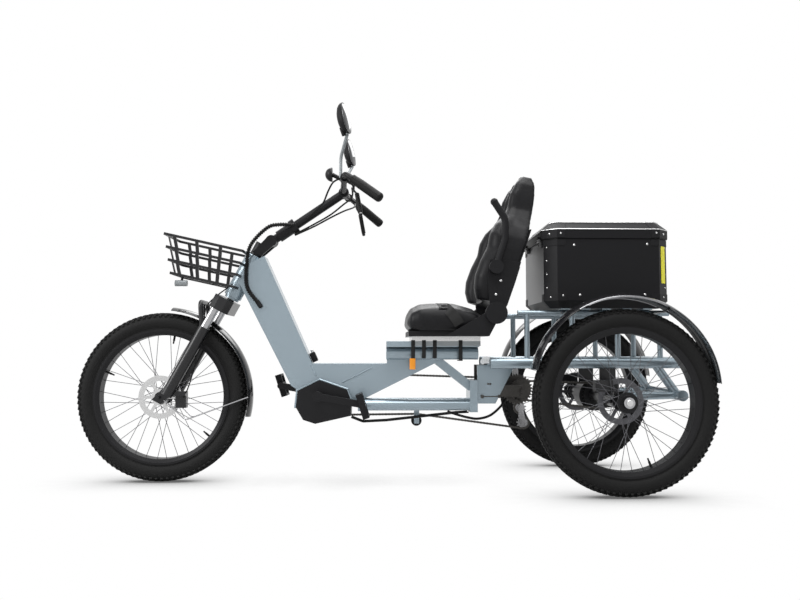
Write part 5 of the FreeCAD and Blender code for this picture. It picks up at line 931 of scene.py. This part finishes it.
# Belt buckle, and the belt's ends down the cushion's sides to the carriage
buckleLook = {"spot": (0.23, 0.668), "low": (0.218, 0.646), "high": (0.248, 0.672), "out": 0.006, "in": 0.001,
              "edge": 0.002}
level = onto("lap_belt", *buckleLook["spot"]).y
(lowX, lowZ), (highX, highZ) = buckleLook["low"], buckleLook["high"]
makePiece("beltBuckle", *block((lowX, level - buckleLook["out"], lowZ),
                               (highX, level + buckleLook["in"], highZ), buckleLook["edge"]),
          "blackPlastic", "seat")
tailLook = {"path": [(0.231, 0.664), (0.244, 0.65), (0.258, 0.634), (0.271, 0.616), (0.282, 0.598)],
            "half": 0.019, "lift": 0.0045, "thick": 0.002, "steps": 5}
tails = []
for side in (-1, 1):
    lift, out = Vector((0, side * tailLook["lift"], 0)), Vector((0, side * tailLook["thick"], 0))
    spots = [onto("seat_cushion", x, z, side) + lift for x, z in tailLook["path"]]
    line = smoothLine(spots, tailLook["steps"])
    verts = []
    for k, spot in enumerate(line):
        way = line[min(k + 1, len(line) - 1)] - line[max(k - 1, 0)]
        across = Vector((-way.z, 0, way.x)).normalized() * tailLook["half"]
        verts += [spot - across, spot + across, spot + across + out, spot - across + out]
    tails.append((verts, ringFaces(len(line), 4)))
makePiece("beltTails", *joined(tails), "webbing", "seat", slotName="belt_web")

# Caps on the rear axle's ends
axleCap = {"in": 0.002, "out": 0.004, "radius": 0.0115, "dome": 0.003}
for side, way in (("left", -1), ("right", 1)):
    low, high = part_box(side + "_hub")
    spot = Vector((rearAxle[0], low[1] if way < 0 else high[1], rearAxle[2]))
    makePiece(side + "AxleCap", *boss(spot, way, axleCap, 24), "brightTrim", side + "_wheel")

# Valves and the clips on the front spokes
stems = {"front": [(-1.067, 0.4197), (-0.8113, 0.5437), (-0.6972, 0.1958)], "left": [(0.9213, 0.1199)],
         "right": [(0.76, 0.1199)]}
stemLook = [(0.238, 0.218, 0.0042, 0.001), (0.219, 0.208, 0.003, 0.002)]  # from, to, radius, dome
for side, places in stems.items():
    axle = middleOf(side + "_rim")
    parts = []
    for x, z in places:
        out = Vector((x - axle.x, 0, z - axle.z)).normalized()
        parts += [knob(axle + out * start, axle + out * end, radius, 12, dome)
                  for start, end, radius, dome in stemLook]
    makePiece(side + "Valves", *joined(parts), "softRubber", side + "_wheel")

# Beads along the mudguards' sharp edges, in a light grey metal: a painted highlight for their reflecting lip
guardLook = {"radius": 0.0022, "merge": 0.00002, "sharp": 0.9, "level": 0.2}


def guardRuns(node, axle, inner, outer):
    form = bmesh.new()
    form.from_mesh(nodes[node].data)
    bmesh.ops.remove_doubles(form, verts=form.verts, dist=guardLook["merge"])
    form.transform(nodes[node].matrix_world)
    runs = []
    for edge in form.edges:
        if len(edge.link_faces) != 2 or edge.calc_face_angle(0) <= guardLook["sharp"]:
            continue
        one, two = [vert.co.copy() for vert in edge.verts]
        away = (one + two) / 2 - Vector(axle)
        level = abs((two - one).normalized().y) < guardLook["level"]
        if level and inner < math.hypot(away.x, away.z) < outer:
            runs.append((one, two))
    form.free()
    return runs


for node, body, axle, inner, outer in (("front_mudguard", "fork_lower", frontAxle, 0.345, 0.4),
                                       ("rear_mudguards", "frame", rearAxle, 0.36, 0.42)):
    runs = guardRuns(node, axle, inner, outer)
    print(node, len(runs), "edge runs")
    makePiece(node + "Edges", *joined([tube(run, guardLook["radius"], 6) for run in runs]), "guardEdge", body)

# Weld beads and the flange over the motor
weldLook = {"side": 0.0464, "steps": 24, "radius": 0.0024, "ripple": 0.0006,
            "seams": [((-0.155, 0.38), (-0.04, 0.438)), ((-0.275, 0.448), (-0.255, 0.405))]}
flangeLook = {"side": 0.06, "centre": (-0.22, 0.31), "out": 0.004, "radius": 0.004,
              "rim": [(-0.3287, 0.285), (-0.3227, 0.35), (-0.2397, 0.389), (-0.1367, 0.3541),
                      (-0.1187, 0.3081)]}
welds, flanges = [], []
steps = weldLook["steps"]
beads = [weldLook["radius"] + weldLook["ripple"] * (k % 2) for k in range(steps + 1)]
for side in (-1, 1):
    for (startX, startZ), (endX, endZ) in weldLook["seams"]:
        line = [Vector((startX + (endX - startX) * k / steps, side * weldLook["side"],
                        startZ + (endZ - startZ) * k / steps)) for k in range(steps + 1)]
        welds.append(tube(line, beads, 8))
    centre = Vector((flangeLook["centre"][0], side * flangeLook["side"], flangeLook["centre"][1]))
    line = [Vector((x, side * flangeLook["side"], z)) for x, z in flangeLook["rim"]]
    line = [spot + (spot - centre).normalized() * flangeLook["out"] for spot in line]
    flanges.append(tube(line, flangeLook["radius"], 10))
makePiece("frameWelds", *joined(welds), "framePaint", "frame", slotName="frame_paint")
makePiece("motorFlange", *joined(flanges), "framePaint", "frame", slotName="frame_paint")
print("fittings made")

# Floor, light and camera as in the photo
stageLook = {"floorSize": 60.0, "floorTone": 0.82, "floorRough": 0.9, "floorSpecular": 0.1,
             "shadeSamples": 16, "shadeReach": 0.32, "shadeFrom": 0.3, "shadeTo": 0.93,
             "shadeDark": 0.13, "cameraTone": 1.0, "fill": 0.2, "target": (0, 0, 0.5)}
lights = {"key": {"place": (0.2, -1.4, 4.2), "power": 210, "size": 3.4},
          "rim": {"place": (-3.4, -1.6, 2.0), "power": 70, "size": 1.6},
          "back": {"place": (0.3, 2.0, 3.4), "power": 110, "size": 3.0}}
eyeLook = {"place": (-0.004, -2.965, 0.515), "turn": 0.0246, "lift": 0.0626, "lens": 33.96, "sensor": 36,
           "picture": (800, 600)}


# The rays that see the white surround: camera, glossy and transmission
def whiteRays(tree):
    path = tree.nodes.new("ShaderNodeLightPath")
    share = path.outputs["Is Camera Ray"]
    for ray in ("Is Glossy Ray", "Is Transmission Ray"):
        share = feed(tree, "ShaderNodeMath", {0: share, 1: path.outputs[ray]}, operation="MAXIMUM")
    return share


bpy.ops.mesh.primitive_plane_add(size=stageLook["floorSize"], location=(0, 0, 0))
floor = bpy.context.object
floor.name = "floor"
floorMat = bpy.data.materials.new("floorTone")
floorMat.use_nodes = True
floorTree = floorMat.node_tree
floorShader = floorTree.nodes["Principled BSDF"]
floorShader.inputs["Base Color"].default_value = (*[stageLook["floorTone"]] * 3, 1)
floorShader.inputs["Roughness"].default_value = stageLook["floorRough"]
floorShader.inputs["Specular IOR Level"].default_value = stageLook["floorSpecular"]
floorNear = addNode(floorTree, "ShaderNodeAmbientOcclusion", {"Distance": stageLook["shadeReach"]},
                    samples=stageLook["shadeSamples"])
floorShade = feed(floorTree, "ShaderNodeMapRange", {
    "Value": floorNear.outputs["AO"], "From Min": stageLook["shadeFrom"], "From Max": stageLook["shadeTo"],
    "To Min": stageLook["shadeDark"]})
floorGlow = feed(floorTree, "ShaderNodeEmission", {"Color": floorShade, "Strength": stageLook["cameraTone"]})
floorMix = feed(floorTree, "ShaderNodeMixShader", {0: whiteRays(floorTree), 1: floorShader.outputs[0],
                                                   2: floorGlow})
floorTree.links.new(floorMix, floorTree.nodes["Material Output"].inputs[0])
floor.data.materials.append(floorMat)

world = bpy.data.worlds.new("studio")
scene.world = world
world.use_nodes = True
sky = world.node_tree
backdrop = sky.nodes["Background"]
seen = feed(sky, "ShaderNodeMix", {"Factor": whiteRays(sky), "A": stageLook["fill"],
                                   "B": stageLook["cameraTone"]}, data_type="FLOAT")
sky.links.new(seen, backdrop.inputs["Strength"])
backdrop.inputs["Color"].default_value = (1, 1, 1, 1)


def facingTurn(way):
    return way.to_track_quat("-Z", "Y").to_euler()


for name, look in lights.items():
    lampData = bpy.data.lights.new(name, "AREA")
    lampData.energy = look["power"]
    lampData.size = look["size"]
    lamp = bpy.data.objects.new(name, lampData)
    lamp.location = look["place"]
    lamp.rotation_euler = facingTurn(Vector(stageLook["target"]) - Vector(look["place"]))
    lamp.visible_camera = False
    scene.collection.objects.link(lamp)

eyeData = bpy.data.cameras.new("eye")
eyeData.lens = eyeLook["lens"]
eyeData.sensor_width = eyeLook["sensor"]
eye = bpy.data.objects.new("eye", eyeData)
eye.location = eyeLook["place"]
turn, lift = eyeLook["turn"], eyeLook["lift"]
gaze = Vector((math.sin(turn) * math.cos(lift), math.cos(turn) * math.cos(lift), math.sin(lift)))
eye.rotation_euler = facingTurn(gaze)
scene.collection.objects.link(eye)
scene.camera = eye
scene.render.resolution_x, scene.render.resolution_y = eyeLook["picture"]
scene.view_settings.view_transform = "Standard"
scene.render.engine = "CYCLES"
scene.cycles.seed = 7
print("stage and camera set")
